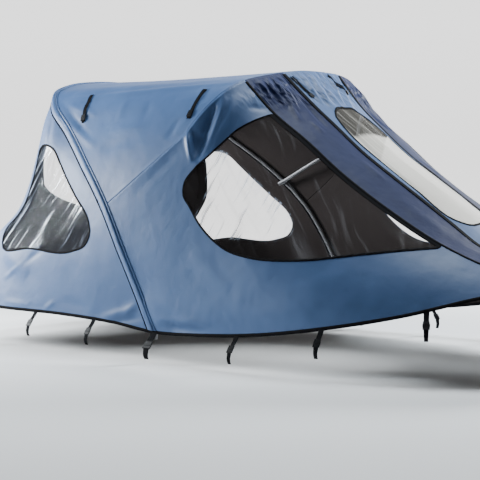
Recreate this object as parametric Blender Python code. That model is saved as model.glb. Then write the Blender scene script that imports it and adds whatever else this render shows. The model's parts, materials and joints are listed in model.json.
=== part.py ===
"""Boat canopy: a sewn cloth shell with clear windows, stretched over two bent bows.

Units are metres. X points to the bow, Y to port and Z up. The origin lies on the centre
plane, level with the feet of the main bow. Starboard has negative Y.
"""
import math

import bmesh
import bpy
import numpy as np
from mathutils.bvhtree import BVHTree

COLLECTION = "boat_canopy"

# Cloth, film, tape and tube
CLOTH = 0.002
FILM = 0.001
TAPE = 0.001
WEBBING = 0.0018
AIR = 0.0003
TUBE_RADIUS = 0.011
TUBE_AIR = 0.0006
CLEARING_ROUNDS = 12

# Widths of what is sewn on
LINE_TAPE_WIDTH = 0.010
HEM_TAPE_WIDTH = 0.014
WINDOW_TAPE_WIDTH = 0.010
WINDOW_TAPE_LAP = 0.002
PANE_LAP = 0.012
PANEL_INSET = 0.00025
SEAM_LIFT = 0.0007
WINDOW_MARGIN = 0.014
WINDOW_LINE_STEPS = 6
PRISM_REACH = 2.4
SLEEVE_WIDTH = 0.046
SLEEVE_CROWN = 0.006
SLEEVE_END = 0.038
SLEEVE_LIFT = 0.0042
SLANT = 0.75
LINE_ONE_END = 0.075
LINE_TWO_END = 0.030
HEM_TAPE_END = 0.016
HEM_TAPE_LIFT = 0.0010

# Grid steps along each seam, shared by the panels that meet there
STEPS_LEG = 10
STEPS_SHOULDER = 7
STEPS_CORNER = 1
STEPS_REAR_CROWN = 12
STEPS_SEAM = 6
STEPS_RIDGE = 8
STEPS_BAND = 3
STEPS_FRONT_CROWN = 6
STEPS_REAR_HEM = STEPS_SHOULDER + STEPS_CORNER

# Main bow, starboard foot to crown. Columns: x, y, z
MAIN_BOW = (
    (0.000, -0.862, 0.000),
    (-0.073, -0.866, 0.152),
    (-0.198, -0.870, 0.386),
    (-0.330, -0.845, 0.592),
    (-0.548, -0.770, 0.815),
    (-0.745, -0.680, 0.978),
    (-0.930, -0.600, 1.115),
    (-1.000, -0.520, 1.185),
    (-1.030, -0.380, 1.234),
    (-1.040, -0.200, 1.260),
    (-1.040, 0.000, 1.270),
)
LEG_TOP, CORNER_LOW, CORNER_HIGH = 3, 6, 7

# Front bow line, starboard to port, with the port shoulder pulled a little higher.
# Columns: x, y, z
FRONT_BOW = (
    (0.096, -0.750, 0.930),
    (0.156, -0.690, 1.038),
    (0.235, -0.600, 1.146),
    (0.262, -0.500, 1.194),
    (0.282, -0.370, 1.224),
    (0.293, -0.240, 1.246),
    (0.303, -0.120, 1.263),
    (0.309, 0.000, 1.269),
    (0.306, 0.120, 1.270),
    (0.300, 0.240, 1.267),
    (0.288, 0.370, 1.246),
    (0.262, 0.500, 1.194),
    (0.235, 0.600, 1.146),
    (0.156, 0.690, 1.038),
    (0.096, 0.750, 0.930),
)
LINE_ONE_TOP, LINE_TWO_TOP = 3, 5

# Seam from the main bow to the foot of the ridge. Columns: x, y, z
ROOF_SEAM = (
    (-0.330, -0.845, 0.592),
    (-0.149, -0.825, 0.722),
    (0.096, -0.750, 0.930),
)

# Hem on the boat's side, stern to bow. Columns: x, y, z
HEM = (
    (-1.500, -0.800, 0.072),
    (-1.058, -0.865, 0.058),
    (-0.600, -0.872, 0.050),
    (-0.250, -0.868, 0.030),
    (0.000, -0.862, 0.000),
    (0.250, -0.867, 0.004),
    (0.506, -0.868, 0.019),
    (0.965, -0.850, 0.080),
    (1.300, -0.750, 0.148),
    (1.563, -0.590, 0.225),
    (1.780, -0.390, 0.276),
    (1.900, -0.200, 0.302),
    (1.945, 0.000, 0.310),
)
HEM_FOOT, HEM_LINE_ONE, HEM_LINE_TWO = 4, 10, 11

# Zip line between side and band, hem to front bow. Columns: x, y, z
LINE_ONE = (
    (1.780, -0.390, 0.276),
    (1.510, -0.445, 0.352),
    (1.302, -0.452, 0.437),
    (1.043, -0.445, 0.576),
    (0.789, -0.455, 0.745),
    (0.591, -0.465, 0.904),
    (0.427, -0.482, 1.028),
    (0.262, -0.500, 1.194),
)

# Zip line between band and front panel, hem to front bow. Columns: x, y, z
LINE_TWO = (
    (1.900, -0.200, 0.302),
    (1.620, -0.215, 0.338),
    (1.369, -0.220, 0.420),
    (1.218, -0.212, 0.520),
    (1.047, -0.210, 0.638),
    (0.911, -0.212, 0.731),
    (0.742, -0.211, 0.849),
    (0.589, -0.212, 0.976),
    (0.465, -0.222, 1.083),
    (0.293, -0.240, 1.246),
)

# Rear corner seam, hem to main bow. Columns: x, y, z
REAR_CORNER = (
    (-1.500, -0.800, 0.072),
    (-1.330, -0.772, 0.270),
    (-1.189, -0.750, 0.450),
    (-1.077, -0.722, 0.564),
    (-1.022, -0.698, 0.690),
    (-1.010, -0.665, 0.807),
    (-1.003, -0.640, 0.903),
    (-1.002, -0.600, 1.030),
    (-1.000, -0.520, 1.185),
)

# Hem of the rear curtain, starboard to port. Columns: x, y, z
TRANSOM_HEM = (
    (-1.500, -0.800, 0.072),
    (-1.535, -0.400, 0.070),
    (-1.545, 0.000, 0.070),
    (-1.535, 0.400, 0.070),
    (-1.500, 0.800, 0.072),
)

# Windows on the sides, seen along Y. Columns: x, z. The side window's last edge follows
# line one between the two rows named here
WINDOW_LINE_FIRST, WINDOW_LINE_LAST = 2, 6
SIDE_WINDOW = (
    (0.335, 0.945),
    (0.251, 0.838),
    (0.181, 0.765),
    (0.142, 0.709),
    (0.142, 0.655),
    (0.190, 0.594),
    (0.244, 0.526),
    (0.320, 0.459),
    (0.421, 0.402),
    (0.527, 0.377),
    (0.800, 0.370),
    (1.026, 0.398),
    (1.190, 0.418),
)
REAR_SIDE_WINDOW = (
    (-0.900, 0.900),
    (-0.950, 0.885),
    (-0.960, 0.806),
    (-0.976, 0.690),
    (-0.995, 0.620),
    (-1.060, 0.530),
    (-1.130, 0.450),
    (-1.125, 0.392),
    (-0.866, 0.376),
    (-0.545, 0.372),
    (-0.455, 0.405),
    (-0.426, 0.461),
    (-0.442, 0.515),
    (-0.567, 0.641),
    (-0.653, 0.722),
    (-0.734, 0.803),
    (-0.820, 0.882),
)
# Window in the front panel, seen from above. Columns: x, y
FRONT_WINDOW = (
    (0.508, 0.000),
    (0.515, -0.085),
    (0.545, -0.140),
    (0.600, -0.160),
    (0.800, -0.162),
    (1.000, -0.168),
    (1.205, -0.168),
    (1.255, -0.120),
    (1.262, 0.000),
    (1.255, 0.120),
    (1.205, 0.168),
    (1.000, 0.168),
    (0.800, 0.162),
    (0.600, 0.160),
    (0.545, 0.140),
    (0.515, 0.085),
)
# Window in the rear curtain, seen along X. Columns: y, z
REAR_WINDOW = (
    (-0.515, 0.665),
    (0.515, 0.665),
    (0.554, 0.682),
    (0.570, 0.720),
    (0.555, 0.955),
    (0.532, 1.000),
    (0.485, 1.020),
    (-0.485, 1.020),
    (-0.532, 1.000),
    (-0.555, 0.955),
    (-0.570, 0.720),
    (-0.554, 0.682),
)

# Folds on the starboard panels: start, end, half width, rise (below zero for a trough)
SIDE_FOLDS = (
    ((0.245, -0.560, 1.150), (0.150, -0.800, 0.800), 0.040, -0.034),
    ((0.300, -0.560, 1.120), (0.215, -0.800, 0.820), 0.040, 0.010),
    ((-0.060, -0.840, 0.150), (0.120, -0.860, 0.030), 0.050, 0.008),
    ((-1.080, -0.800, 0.360), (-0.860, -0.840, 0.240), 0.050, 0.010),
)
# Folds on the front panel, fanning out below the bow. Same columns
FRONT_FOLDS = (
    ((0.330, -0.120, 1.220), (0.560, -0.080, 1.020), 0.040, 0.007),
    ((0.330, 0.080, 1.230), (0.560, 0.050, 1.030), 0.040, 0.007),
)

# Straps over the boat's side. Columns: x, width, stand-off from the hem's line
HEM_STRAPS = (
    (-1.200, 0.025, 0.0022),
    (-0.780, 0.025, 0.0023),
    (-0.375, 0.025, 0.0026),
    (0.008, 0.038, 0.0030),
    (0.506, 0.025, 0.0030),
    (0.950, 0.025, 0.0024),
    (1.377, 0.025, 0.0020),
)
# The run of a hem strap. Columns: out from its seat, up from the hem, width share, thickness
HEM_STRAP_RUN = (
    (0.0000, 0.010, 1.00, 0.0018),
    (0.0000, 0.002, 1.00, 0.0018),
    (0.0150, -0.018, 1.00, 0.0018),
    (0.0330, -0.036, 1.00, 0.0018),
    (0.0335, -0.037, 1.25, 0.0060),
    (0.0550, -0.066, 1.25, 0.0060),
    (0.0555, -0.067, 0.90, 0.0018),
    (0.0610, -0.090, 0.80, 0.0018),
    (0.0530, -0.115, 0.70, 0.0018),
)
# Roll-up straps on the roof's shoulders, seen along Y: start and end. Columns: x, z
ROOF_STRAPS = (
    ("aft", (-0.685, 1.160), (-0.648, 1.012)),
    ("fore", (0.088, 1.151), (0.086, 1.007)),
)
# Roll-up straps on the front panel, seen from above: start and end. Columns: x, y
FRONT_STRAPS = (
    ("starboard", (0.322, -0.206), (0.426, -0.174)),
    ("port", (0.322, 0.107), (0.404, 0.175)),
)
ROLL_STRAP_WIDTH = 0.024
SHOULDER_INNER = 0.45

# Hinge between the front bow and a leg of the main bow
HINGE_HEIGHT = 0.72
HINGE_LENGTH = 0.030
HINGE_WIDTH = 0.028
HINGE_LIP = 0.001
HINGE_BORE_AIR = 0.0006
HINGE_REACH = 0.036
HINGE_AIR = 0.0006
HINGE_TAIL = 0.020
RING_SIDES = 16
LEAD_STEPS = 8
LEAD_SAG = 0.030
LEAD_AIM = 4
BOW_FOOT_DROP = 0.030

# Both sides of the canopy, with the turn that carries starboard points there
SIDES = (("starboard", np.array([1.0, 1.0, 1.0])), ("port", np.array([1.0, -1.0, 1.0])))

# Grid corners, and the inner points next to them
CORNERS = ([0, 0, -1, -1], [0, -1, 0, -1])
INNER_CORNERS = ([1, 1, -2, -2], [1, -2, 1, -2])
# Panels that meet split their rims alike: each from the point that comes first this way
RIM_ORDER = np.array([1.0, 0.31, 0.17])

# Colours: red, green, blue, then roughness and metallic
FINISHES = {
    "cloth": (0.09, 0.19, 0.34, 0.55, 0.0),
    "band_cloth": (0.05, 0.08, 0.18, 0.55, 0.0),
    "film": (0.70, 0.74, 0.76, 0.08, 0.0),
    "tape": (0.01, 0.01, 0.012, 0.6, 0.0),
    "webbing": (0.012, 0.012, 0.014, 0.7, 0.0),
    "tube": (0.60, 0.62, 0.64, 0.3, 1.0),
}


def mirrored(points):
    """The same points on the other side of the centre plane."""
    return np.asarray(points, float) * (1.0, -1.0, 1.0)


def whole_arch(rows):
    """Rows from the starboard foot to the crown, carried on to the port foot."""
    rows = np.asarray(rows, float)
    return np.vstack([rows, mirrored(rows[-2::-1])])


def smooth_curve(rows, first, last, steps):
    """Even points from row first to row last of the cubic curve through all rows."""
    rows = np.asarray(rows, float)
    chord = np.linalg.norm(np.diff(rows, axis=0), axis=1)
    place = np.concatenate([[0.0], np.cumsum(chord)])
    slope = np.gradient(rows, place, axis=0)
    fine = []
    for k in range(first, last):
        t = np.linspace(0.0, 1.0, 25)[:, None]
        length = chord[k]
        fine.append(
            (2 * t**3 - 3 * t**2 + 1) * rows[k]
            + (t**3 - 2 * t**2 + t) * length * slope[k]
            + (3 * t**2 - 2 * t**3) * rows[k + 1]
            + (t**3 - t**2) * length * slope[k + 1]
        )
    return resampled(np.vstack(fine), steps)


def resampled(line, steps):
    """The same polyline with its points spread evenly by length."""
    run = np.concatenate([[0.0], np.cumsum(np.linalg.norm(np.diff(line, axis=0), axis=1))])
    even = np.linspace(0.0, run[-1], steps + 1)
    return np.stack([np.interp(even, run, line[:, k]) for k in range(line.shape[1])], axis=1)


def joined(*lines):
    """Lines that meet end to start, as one line."""
    parts = [lines[0]]
    for line in lines[1:]:
        parts.append(line[1:])
    return np.vstack(parts)


def patch(bottom, top, left, right):
    """Surface between four edges: u runs along bottom and top, v from bottom to top."""
    u = np.linspace(0.0, 1.0, len(bottom))[:, None, None]
    v = np.linspace(0.0, 1.0, len(left))[None, :, None]
    between_rows = (1 - v) * bottom[:, None] + v * top[:, None]
    between_columns = (1 - u) * left[None] + u * right[None]
    corners = (
        (1 - u) * (1 - v) * bottom[0]
        + u * (1 - v) * bottom[-1]
        + (1 - u) * v * top[0]
        + u * v * top[-1]
    )
    return between_rows + between_columns - corners


def grid_normals(grid):
    """Unit normals of a grid, pointing out of the canopy."""
    normal = np.cross(np.gradient(grid, axis=0), np.gradient(grid, axis=1))
    return normal / np.linalg.norm(normal, axis=2, keepdims=True)


def outward_sign(grid):
    """1 where the grid's own normals already point away from the cabin, else -1."""
    inside = np.array([0.0, 0.0, 0.45])
    return 1.0 if np.sum(grid_normals(grid) * (grid - inside)) > 0 else -1.0


def relieved(grid, folds):
    """The grid pushed in or out along its normals by each fold, its edges left in place.

    A fold is a soft trough or ridge from a start to an end point; it fades at both ends.
    """
    normal = grid_normals(grid) * outward_sign(grid)
    inner = np.zeros(grid.shape[:2])
    inner[1:-1, 1:-1] = 1.0
    moved = grid.copy()
    for start, end, half_width, rise in folds:
        start = np.array(start)
        run = np.array(end) - start
        along = np.clip(((grid - start) @ run) / (run @ run), 0.0, 1.0)
        away = np.linalg.norm(grid - start - along[..., None] * run, axis=2)
        push = rise * np.exp(-((away / half_width) ** 2)) * np.sin(math.pi * along) ** 0.7
        moved += normal * (push * inner)[..., None]
    return moved


def panel_grids():
    """The outer surface of every panel, with shared points along shared seams."""
    main = whole_arch(MAIN_BOW)
    hem = whole_arch(HEM)
    crown = len(MAIN_BOW) - 1
    leg = smooth_curve(main, 0, LEG_TOP, STEPS_LEG)
    shoulder = smooth_curve(main, LEG_TOP, CORNER_LOW, STEPS_SHOULDER)
    corner = smooth_curve(main, CORNER_LOW, CORNER_HIGH, STEPS_CORNER)
    rear_crown = smooth_curve(main, CORNER_HIGH, 2 * crown - CORNER_HIGH, STEPS_REAR_CROWN)
    last = len(FRONT_BOW) - 1
    front_top = smooth_curve(FRONT_BOW, LINE_TWO_TOP, last - LINE_TWO_TOP, STEPS_FRONT_CROWN)
    rear_corner = smooth_curve(REAR_CORNER, 0, len(REAR_CORNER) - 1, STEPS_LEG)
    seam = smooth_curve(ROOF_SEAM, 0, len(ROOF_SEAM) - 1, STEPS_SEAM)

    grids = {}
    edges = {}
    for name, turn in SIDES:
        bow_rows = FRONT_BOW if name == "starboard" else FRONT_BOW[::-1]
        ridge = smooth_curve(bow_rows, 0, LINE_ONE_TOP, STEPS_RIDGE)
        band_top = smooth_curve(bow_rows, LINE_ONE_TOP, LINE_TWO_TOP, STEPS_BAND)
        line_one_rows = np.array(LINE_ONE) * turn
        line_one_rows[-1] = bow_rows[LINE_ONE_TOP]
        line_two_rows = np.array(LINE_TWO) * turn
        line_two_rows[-1] = bow_rows[LINE_TWO_TOP]
        line_one = smooth_curve(line_one_rows, 0, len(LINE_ONE) - 1, STEPS_LEG)
        line_two = smooth_curve(line_two_rows, 0, len(LINE_TWO) - 1, STEPS_LEG)
        side_hem = smooth_curve(hem, HEM_FOOT, HEM_LINE_ONE, STEPS_SEAM + STEPS_RIDGE) * turn
        band_hem = smooth_curve(hem, HEM_LINE_ONE, HEM_LINE_TWO, STEPS_BAND) * turn
        rear_hem = smooth_curve(hem, 0, HEM_FOOT, STEPS_REAR_HEM) * turn
        rear_top = joined(shoulder, corner)[::-1] * turn
        side = patch(side_hem, joined(seam * turn, ridge), leg * turn, line_one)
        band = patch(band_hem, band_top, line_one, line_two)
        rear = patch(rear_hem, rear_top, rear_corner * turn, leg * turn)
        folds = [(turn * a, turn * b, w, d) for a, b, w, d in SIDE_FOLDS]
        grids["side_panel_" + name] = relieved(side, folds)
        grids["front_band_" + name] = relieved(band, folds)
        grids["rear_side_panel_" + name] = relieved(rear, folds)
        edges[name] = (joined(shoulder, corner) * turn, joined(ridge, band_top), line_two)
    starboard, port = edges["starboard"], edges["port"]
    rear_edge = joined(starboard[0], rear_crown, port[0][::-1])
    front_edge = joined(starboard[1], front_top, port[1][::-1])
    grids["roof_panel"] = patch(rear_edge, front_edge, seam, mirrored(seam))
    front_hem = smooth_curve(hem, HEM_LINE_TWO, len(hem) - 1 - HEM_LINE_TWO, STEPS_FRONT_CROWN)
    front = patch(front_hem, front_top, starboard[2], port[2])
    grids["front_panel"] = relieved(front, FRONT_FOLDS)
    transom = smooth_curve(TRANSOM_HEM, 0, len(TRANSOM_HEM) - 1, STEPS_REAR_CROWN)
    grids["rear_curtain"] = patch(transom, rear_crown, rear_corner, mirrored(rear_corner))
    return grids


def shared_normals(grids):
    """Outward normals for each grid, made equal where panels share a point."""
    total = {}
    own = {}
    for name, grid in grids.items():
        own[name] = grid_normals(grid) * outward_sign(grid)
        own[name][CORNERS] = own[name][INNER_CORNERS]
        for point, normal in zip(grid.reshape(-1, 3), own[name].reshape(-1, 3)):
            key = tuple(np.round(point * 1e5).astype(int))
            total[key] = total.get(key, 0.0) + normal
    shared = {}
    for name, grid in grids.items():
        rows = []
        for point in grid.reshape(-1, 3):
            rows.append(total[tuple(np.round(point * 1e5).astype(int))])
        summed = np.array(rows).reshape(grid.shape)
        shared[name] = summed / np.linalg.norm(summed, axis=2, keepdims=True)
    return shared


def drawn_in(grid, amount):
    """The grid with its border moved towards the next row, by an amount square to the edge."""
    moved = grid.copy()
    pairs = (
        ((0, slice(None)), (1, slice(None))),
        ((-1, slice(None)), (-2, slice(None))),
        ((slice(None), 0), (slice(None), 1)),
        ((slice(None), -1), (slice(None), -2)),
    )
    for edge, inner in pairs:
        moved[edge] += amount * wing(grid[edge], grid[inner])
    return moved


def grid_triangles(grid):
    """Point numbers of the two triangles in each cell of a grid, all cells split alike."""
    columns, rows = grid.shape[:2]
    index = np.arange(columns * rows).reshape(columns, rows)
    lower = np.stack([index[:-1, :-1], index[1:, :-1], index[1:, 1:]], axis=-1)
    upper = np.stack([index[:-1, :-1], index[1:, 1:], index[:-1, 1:]], axis=-1)
    return np.vstack([lower.reshape(-1, 3), upper.reshape(-1, 3)])


def shell_mesh(name, grid, normals, near, far):
    """A closed sheet between two offsets of a grid, near being the outer one."""
    columns, rows = grid.shape[:2]
    sign = outward_sign(grid)
    base = drawn_in(grid, PANEL_INSET)
    outer = (base + normals * near).reshape(-1, 3)
    inner = (base + normals * far).reshape(-1, 3)
    shift = columns * rows
    index = np.arange(shift).reshape(columns, rows)
    skin = grid_triangles(grid)
    loop = np.concatenate([index[:-1, 0], index[-1, :-1], index[:0:-1, -1], index[0, :0:-1]])
    ahead = np.roll(loop, -1)
    order = grid.reshape(-1, 3) @ RIM_ORDER
    forward = order[loop] < order[ahead]
    third = np.where(forward, ahead + shift, ahead)
    fourth = np.where(forward, loop, loop + shift)
    rim = np.vstack(
        [
            np.stack([loop, loop + shift, third], axis=1),
            np.stack([fourth, ahead + shift, ahead], axis=1),
        ]
    )
    faces = np.vstack([skin, skin[:, ::-1] + shift, rim])
    if sign < 0:
        faces = faces[:, ::-1]
    mesh = bpy.data.meshes.new(name)
    mesh.from_pydata(np.vstack([outer, inner]).tolist(), [], faces.tolist())
    mesh.update()
    return mesh


def loft_mesh(name, sections):
    """A closed solid through a row of loops, with both ends capped."""
    count, sides = sections.shape[:2]
    faces = []
    for k in range(count - 1):
        for j in range(sides):
            nxt = (j + 1) % sides
            faces.append((k * sides + j, k * sides + nxt, (k + 1) * sides + nxt, (k + 1) * sides + j))
    faces.append(tuple(range(sides))[::-1])
    faces.append(tuple((count - 1) * sides + j for j in range(sides)))
    mesh = bpy.data.meshes.new(name)
    mesh.from_pydata(sections.reshape(-1, 3).tolist(), [], faces)
    mesh.update()
    tidy = bmesh.new()
    tidy.from_mesh(mesh)
    bmesh.ops.triangulate(tidy, faces=tidy.faces)
    bmesh.ops.recalc_face_normals(tidy, faces=tidy.faces)
    tidy.to_mesh(mesh)
    tidy.free()
    return mesh


def tangents(line):
    """Unit directions along a line at each of its points."""
    way = np.gradient(line, axis=0)
    return way / np.linalg.norm(way, axis=1, keepdims=True)


def wing(edge, inner):
    """Directions from an edge into its panel, one unit square to the edge.

    They run along the grid, or square to the edge where the grid is too slanted.
    """
    along = tangents(edge)
    way = inner - edge
    way /= np.linalg.norm(way, axis=1, keepdims=True)
    upright = way - along * np.sum(way * along, axis=1, keepdims=True)
    square = np.linalg.norm(upright, axis=1, keepdims=True)
    return np.where(square > SLANT, way, upright) / square


def wing_normal(edge, way, outward):
    """Unit normals of the facet beside an edge, on the side that outward points to."""
    normal = np.cross(tangents(edge), way)
    normal /= np.linalg.norm(normal, axis=1, keepdims=True)
    return normal * np.sign(np.sum(normal * outward, axis=1, keepdims=True))


def tape_sections(edge, outward, ways, width, lift, thickness, crown=0.0):
    """Loops of a tape laid along a seam, with one wing on each panel that it covers."""
    half = width / len(ways)
    if len(ways) == 2:
        rows = [(way * half, wing_normal(edge, way, outward), 0.0) for way in ways]
        rows.insert(1, (0.0 * outward, outward, crown))
    else:
        normal = wing_normal(edge, ways[0], outward)
        rows = [(ways[0] * AIR, normal, 0.0), (ways[0] * half, normal, 0.0)]
    low = [edge + move + normal * (lift + rise) for move, normal, rise in rows]
    high = [edge + move + normal * (lift + rise + thickness) for move, normal, rise in rows]
    return np.stack(low + high[::-1], axis=1)


def ribbon_sections(path, across, normal, widths, thickness):
    """Four-cornered loops of a webbing strap along a path."""
    side = across * widths[:, None] / 2
    up = normal * thickness[:, None]
    return np.stack([path - side, path + side, path + side + up, path - side + up], axis=1)


def grown(outline, amount):
    """A closed outline moved outwards by an amount."""
    way = np.roll(outline, -1, axis=0) - np.roll(outline, 1, axis=0)
    normal = np.stack([way[:, 1], -way[:, 0]], axis=1)
    normal /= np.linalg.norm(normal, axis=1, keepdims=True)
    ahead = np.roll(outline, -1, axis=0)
    area = np.sum(outline[:, 0] * ahead[:, 1] - ahead[:, 0] * outline[:, 1])
    return outline + normal * amount * (1.0 if area > 0 else -1.0)


def side_window_outline():
    """The side window in x and z: its free edge, then an edge beside line one."""
    span = (WINDOW_LINE_FIRST, WINDOW_LINE_LAST)
    line = smooth_curve(LINE_ONE, span[0], span[1], WINDOW_LINE_STEPS)[:, [0, 2]]
    way = tangents(line)
    beside = line - WINDOW_MARGIN * np.stack([way[:, 1], -way[:, 0]], axis=1)
    return np.vstack([SIDE_WINDOW, beside])


def prism(name, outline, axis, cutters, span=(-PRISM_REACH, PRISM_REACH)):
    """A cutter: an outline drawn square to an axis and extruded over a span of it."""
    low = np.insert(outline, axis, span[0], axis=1)
    high = np.insert(outline, axis, span[1], axis=1)
    mesh = loft_mesh(name, np.stack([low, high]))
    cutter = bpy.data.objects.new(name, mesh)
    cutter.hide_render = True
    cutter.display_type = "WIRE"
    cutters.objects.link(cutter)
    return cutter


def finish(name, kind):
    """A plain material for one named piece, from the finish that its kind has."""
    red, green, blue, roughness, metallic = FINISHES[kind]
    material = bpy.data.materials.new(name)
    material.use_nodes = True
    shader = material.node_tree.nodes["Principled BSDF"]
    shader.inputs["Base Color"].default_value = (red, green, blue, 1.0)
    shader.inputs["Roughness"].default_value = roughness
    shader.inputs["Metallic"].default_value = metallic
    return material


def piece(name, mesh, kind, parts):
    """An object of the canopy with its material, shaded smooth between sharp edges."""
    mesh.name = name
    mesh.materials.clear()
    mesh.materials.append(finish(name, kind))
    mesh.shade_smooth()
    mesh.set_sharp_from_angle(angle=math.radians(35.0))
    made = bpy.data.objects.new(name, mesh)
    parts.objects.link(made)
    return made


def cut(target, cutter, operation):
    """Add an exact Boolean to a piece."""
    step = target.modifiers.new(cutter.name, "BOOLEAN")
    step.operation = operation
    step.solver = "EXACT"
    step.object = cutter


def tube(name, path, kind, parts):
    """A round bow along a path, with closed ends."""
    curve = bpy.data.curves.new(name, "CURVE")
    curve.dimensions = "3D"
    curve.bevel_depth = TUBE_RADIUS
    curve.bevel_resolution = 2
    curve.use_fill_caps = True
    spline = curve.splines.new("POLY")
    spline.points.add(len(path) - 1)
    spline.points.foreach_set("co", np.insert(path, 3, 1.0, axis=1).ravel())
    curve.materials.append(finish(name, kind))
    made = bpy.data.objects.new(name, curve)
    parts.objects.link(made)
    return made


def bow_path(arch, grids):
    """The centre line of a tube that lies just inside a seam and clears every panel."""
    edge, shared, _ = arch
    reach = CLOTH + TUBE_RADIUS + TUBE_AIR
    corners, faces = [], []
    for grid in grids.values():
        faces.extend((grid_triangles(grid) + len(corners)).tolist())
        corners.extend(grid.reshape(-1, 3).tolist())
    cloth = BVHTree.FromPolygons(corners, faces)
    path = edge - shared * reach
    for _ in range(CLEARING_ROUNDS):
        for k, point in enumerate(path):
            near, _, _, distance = cloth.find_nearest(point)
            if distance < reach:
                path[k] += (point - np.array(near)) * (reach - distance) / distance
    return path


def along_arch(grids, normals, pieces):
    """Edge, shared normals and both wings of a seam made of several panel edges.

    Each entry names the panel on one side, the panel on the other side, and how each
    one's edge is picked and turned.
    """
    edge, shared, first, second = [], [], [], []
    for one, one_edge, other, other_edge in pieces:
        line, inner = one_edge(grids[one])
        other_inner = other_edge(grids[other])[1]
        edge.append(line)
        shared.append(one_edge(normals[one])[0])
        first.append(inner)
        second.append(other_inner)
    line = joined(*edge)
    return line, joined(*shared), (wing(line, joined(*first)), wing(line, joined(*second)))


def left(grid):
    """A panel's left edge and the inner points beside it."""
    return grid[0], grid[1]


def right(grid):
    """A panel's right edge and the inner points beside it."""
    return grid[-1], grid[-2]


def bottom(grid):
    """A panel's bottom edge and the inner points beside it."""
    return grid[:, 0], grid[:, 1]


def top(grid):
    """A panel's top edge and the inner points beside it."""
    return grid[:, -1], grid[:, -2]


def flat_right(grid):
    """A right edge that meets the top one at a flat angle: inner points keep off that one."""
    rows = np.arange(grid.shape[1])
    return grid[-1], grid[-2, np.minimum(rows, len(rows) - 2)]


def flat_top(grid):
    """A top edge that meets the right one at a flat angle: inner points keep off that one."""
    columns = np.arange(grid.shape[0])
    return grid[:, -1], grid[np.minimum(columns, len(columns) - 2), -2]


def stretch(pick, first, last):
    """Picks part of an edge, by step numbers."""
    return lambda grid: tuple(line[first : last + 1] for line in pick(grid))


def turned(pick):
    """The same edge, run the other way."""
    return lambda grid: tuple(line[::-1] for line in pick(grid))


def panel_of(name):
    """The kind of cloth that a panel is cut from."""
    return "band_cloth" if name.startswith("front_band") else "cloth"


def build_panels_and_windows(grids, normals, parts, cutters):
    """Panels with their window holes, the panes behind them and the tape around them."""
    side = side_window_outline()
    openings = {
        "side_window": (side, 1, ("side_panel_starboard", "side_panel_port")),
        "rear_side_window": (
            np.array(REAR_SIDE_WINDOW),
            1,
            ("rear_side_panel_starboard", "rear_side_panel_port"),
        ),
        "front_window": (np.array(FRONT_WINDOW), 2, ("front_panel",)),
        "rear_window": (np.array(REAR_WINDOW), 0, ("rear_curtain",)),
    }
    panels = {}
    for name, grid in grids.items():
        mesh = shell_mesh(name, grid, normals[name], 0.0, -CLOTH)
        panels[name] = piece(name, mesh, panel_of(name), parts)
    film_top = -(CLOTH + AIR)
    for window, (outline, axis, names) in openings.items():
        hole = prism(window + "_hole", outline, axis, cutters)
        lap = prism(window + "_lap", grown(outline, PANE_LAP), axis, cutters)
        rim_outline = grown(outline, WINDOW_TAPE_WIDTH - WINDOW_TAPE_LAP)
        rim = prism(window + "_rim", rim_outline, axis, cutters)
        bare = prism(window + "_bare", grown(outline, -WINDOW_TAPE_LAP), axis, cutters)
        for name in names:
            cut(panels[name], hole, "DIFFERENCE")
            tail = name[name.rfind("_") :] if len(names) > 1 else ""
            pane_mesh = shell_mesh(name, grids[name], normals[name], film_top, film_top - FILM)
            pane = piece(window + "_pane" + tail, pane_mesh, "film", parts)
            cut(pane, lap, "INTERSECT")
            tape_mesh = shell_mesh(name, grids[name], normals[name], SEAM_LIFT + TAPE, SEAM_LIFT)
            tape = piece(window + "_tape" + tail, tape_mesh, "tape", parts)
            cut(tape, rim, "INTERSECT")
            cut(tape, bare, "DIFFERENCE")


def shortened(sections, length):
    """Loft loops with the first one moved along towards the second by a length."""
    first = sections[0].mean(axis=0)
    second = sections[1].mean(axis=0)
    share = length / np.linalg.norm(second - first)
    moved = sections.copy()
    moved[0] += (sections[1] - sections[0]) * share
    return moved


def main_arch(grids, normals):
    """The seam over the main bow, from the starboard foot to the port foot."""
    high = STEPS_SHOULDER + STEPS_CORNER
    far = high + STEPS_REAR_CROWN
    pieces = (
        ("side_panel_starboard", left, "rear_side_panel_starboard", flat_right),
        ("roof_panel", stretch(bottom, 0, high), "rear_side_panel_starboard", turned(flat_top)),
        ("roof_panel", stretch(bottom, high, far), "rear_curtain", top),
        ("roof_panel", stretch(bottom, far, far + high), "rear_side_panel_port", flat_top),
        ("side_panel_port", turned(left), "rear_side_panel_port", turned(flat_right)),
    )
    return along_arch(grids, normals, pieces)


def front_arch(grids, normals):
    """The seam over the front bow, from the starboard ridge foot to the port one."""
    ridge = STEPS_RIDGE
    band = ridge + STEPS_BAND
    crown = band + STEPS_FRONT_CROWN
    far = crown + STEPS_BAND
    side_top = stretch(top, STEPS_SEAM, STEPS_SEAM + ridge)
    pieces = (
        ("roof_panel", stretch(top, 0, ridge), "side_panel_starboard", side_top),
        ("roof_panel", stretch(top, ridge, band), "front_band_starboard", top),
        ("roof_panel", stretch(top, band, crown), "front_panel", top),
        ("roof_panel", stretch(top, crown, far), "front_band_port", turned(top)),
        ("roof_panel", stretch(top, far, far + ridge), "side_panel_port", turned(side_top)),
    )
    return along_arch(grids, normals, pieces)


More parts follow.
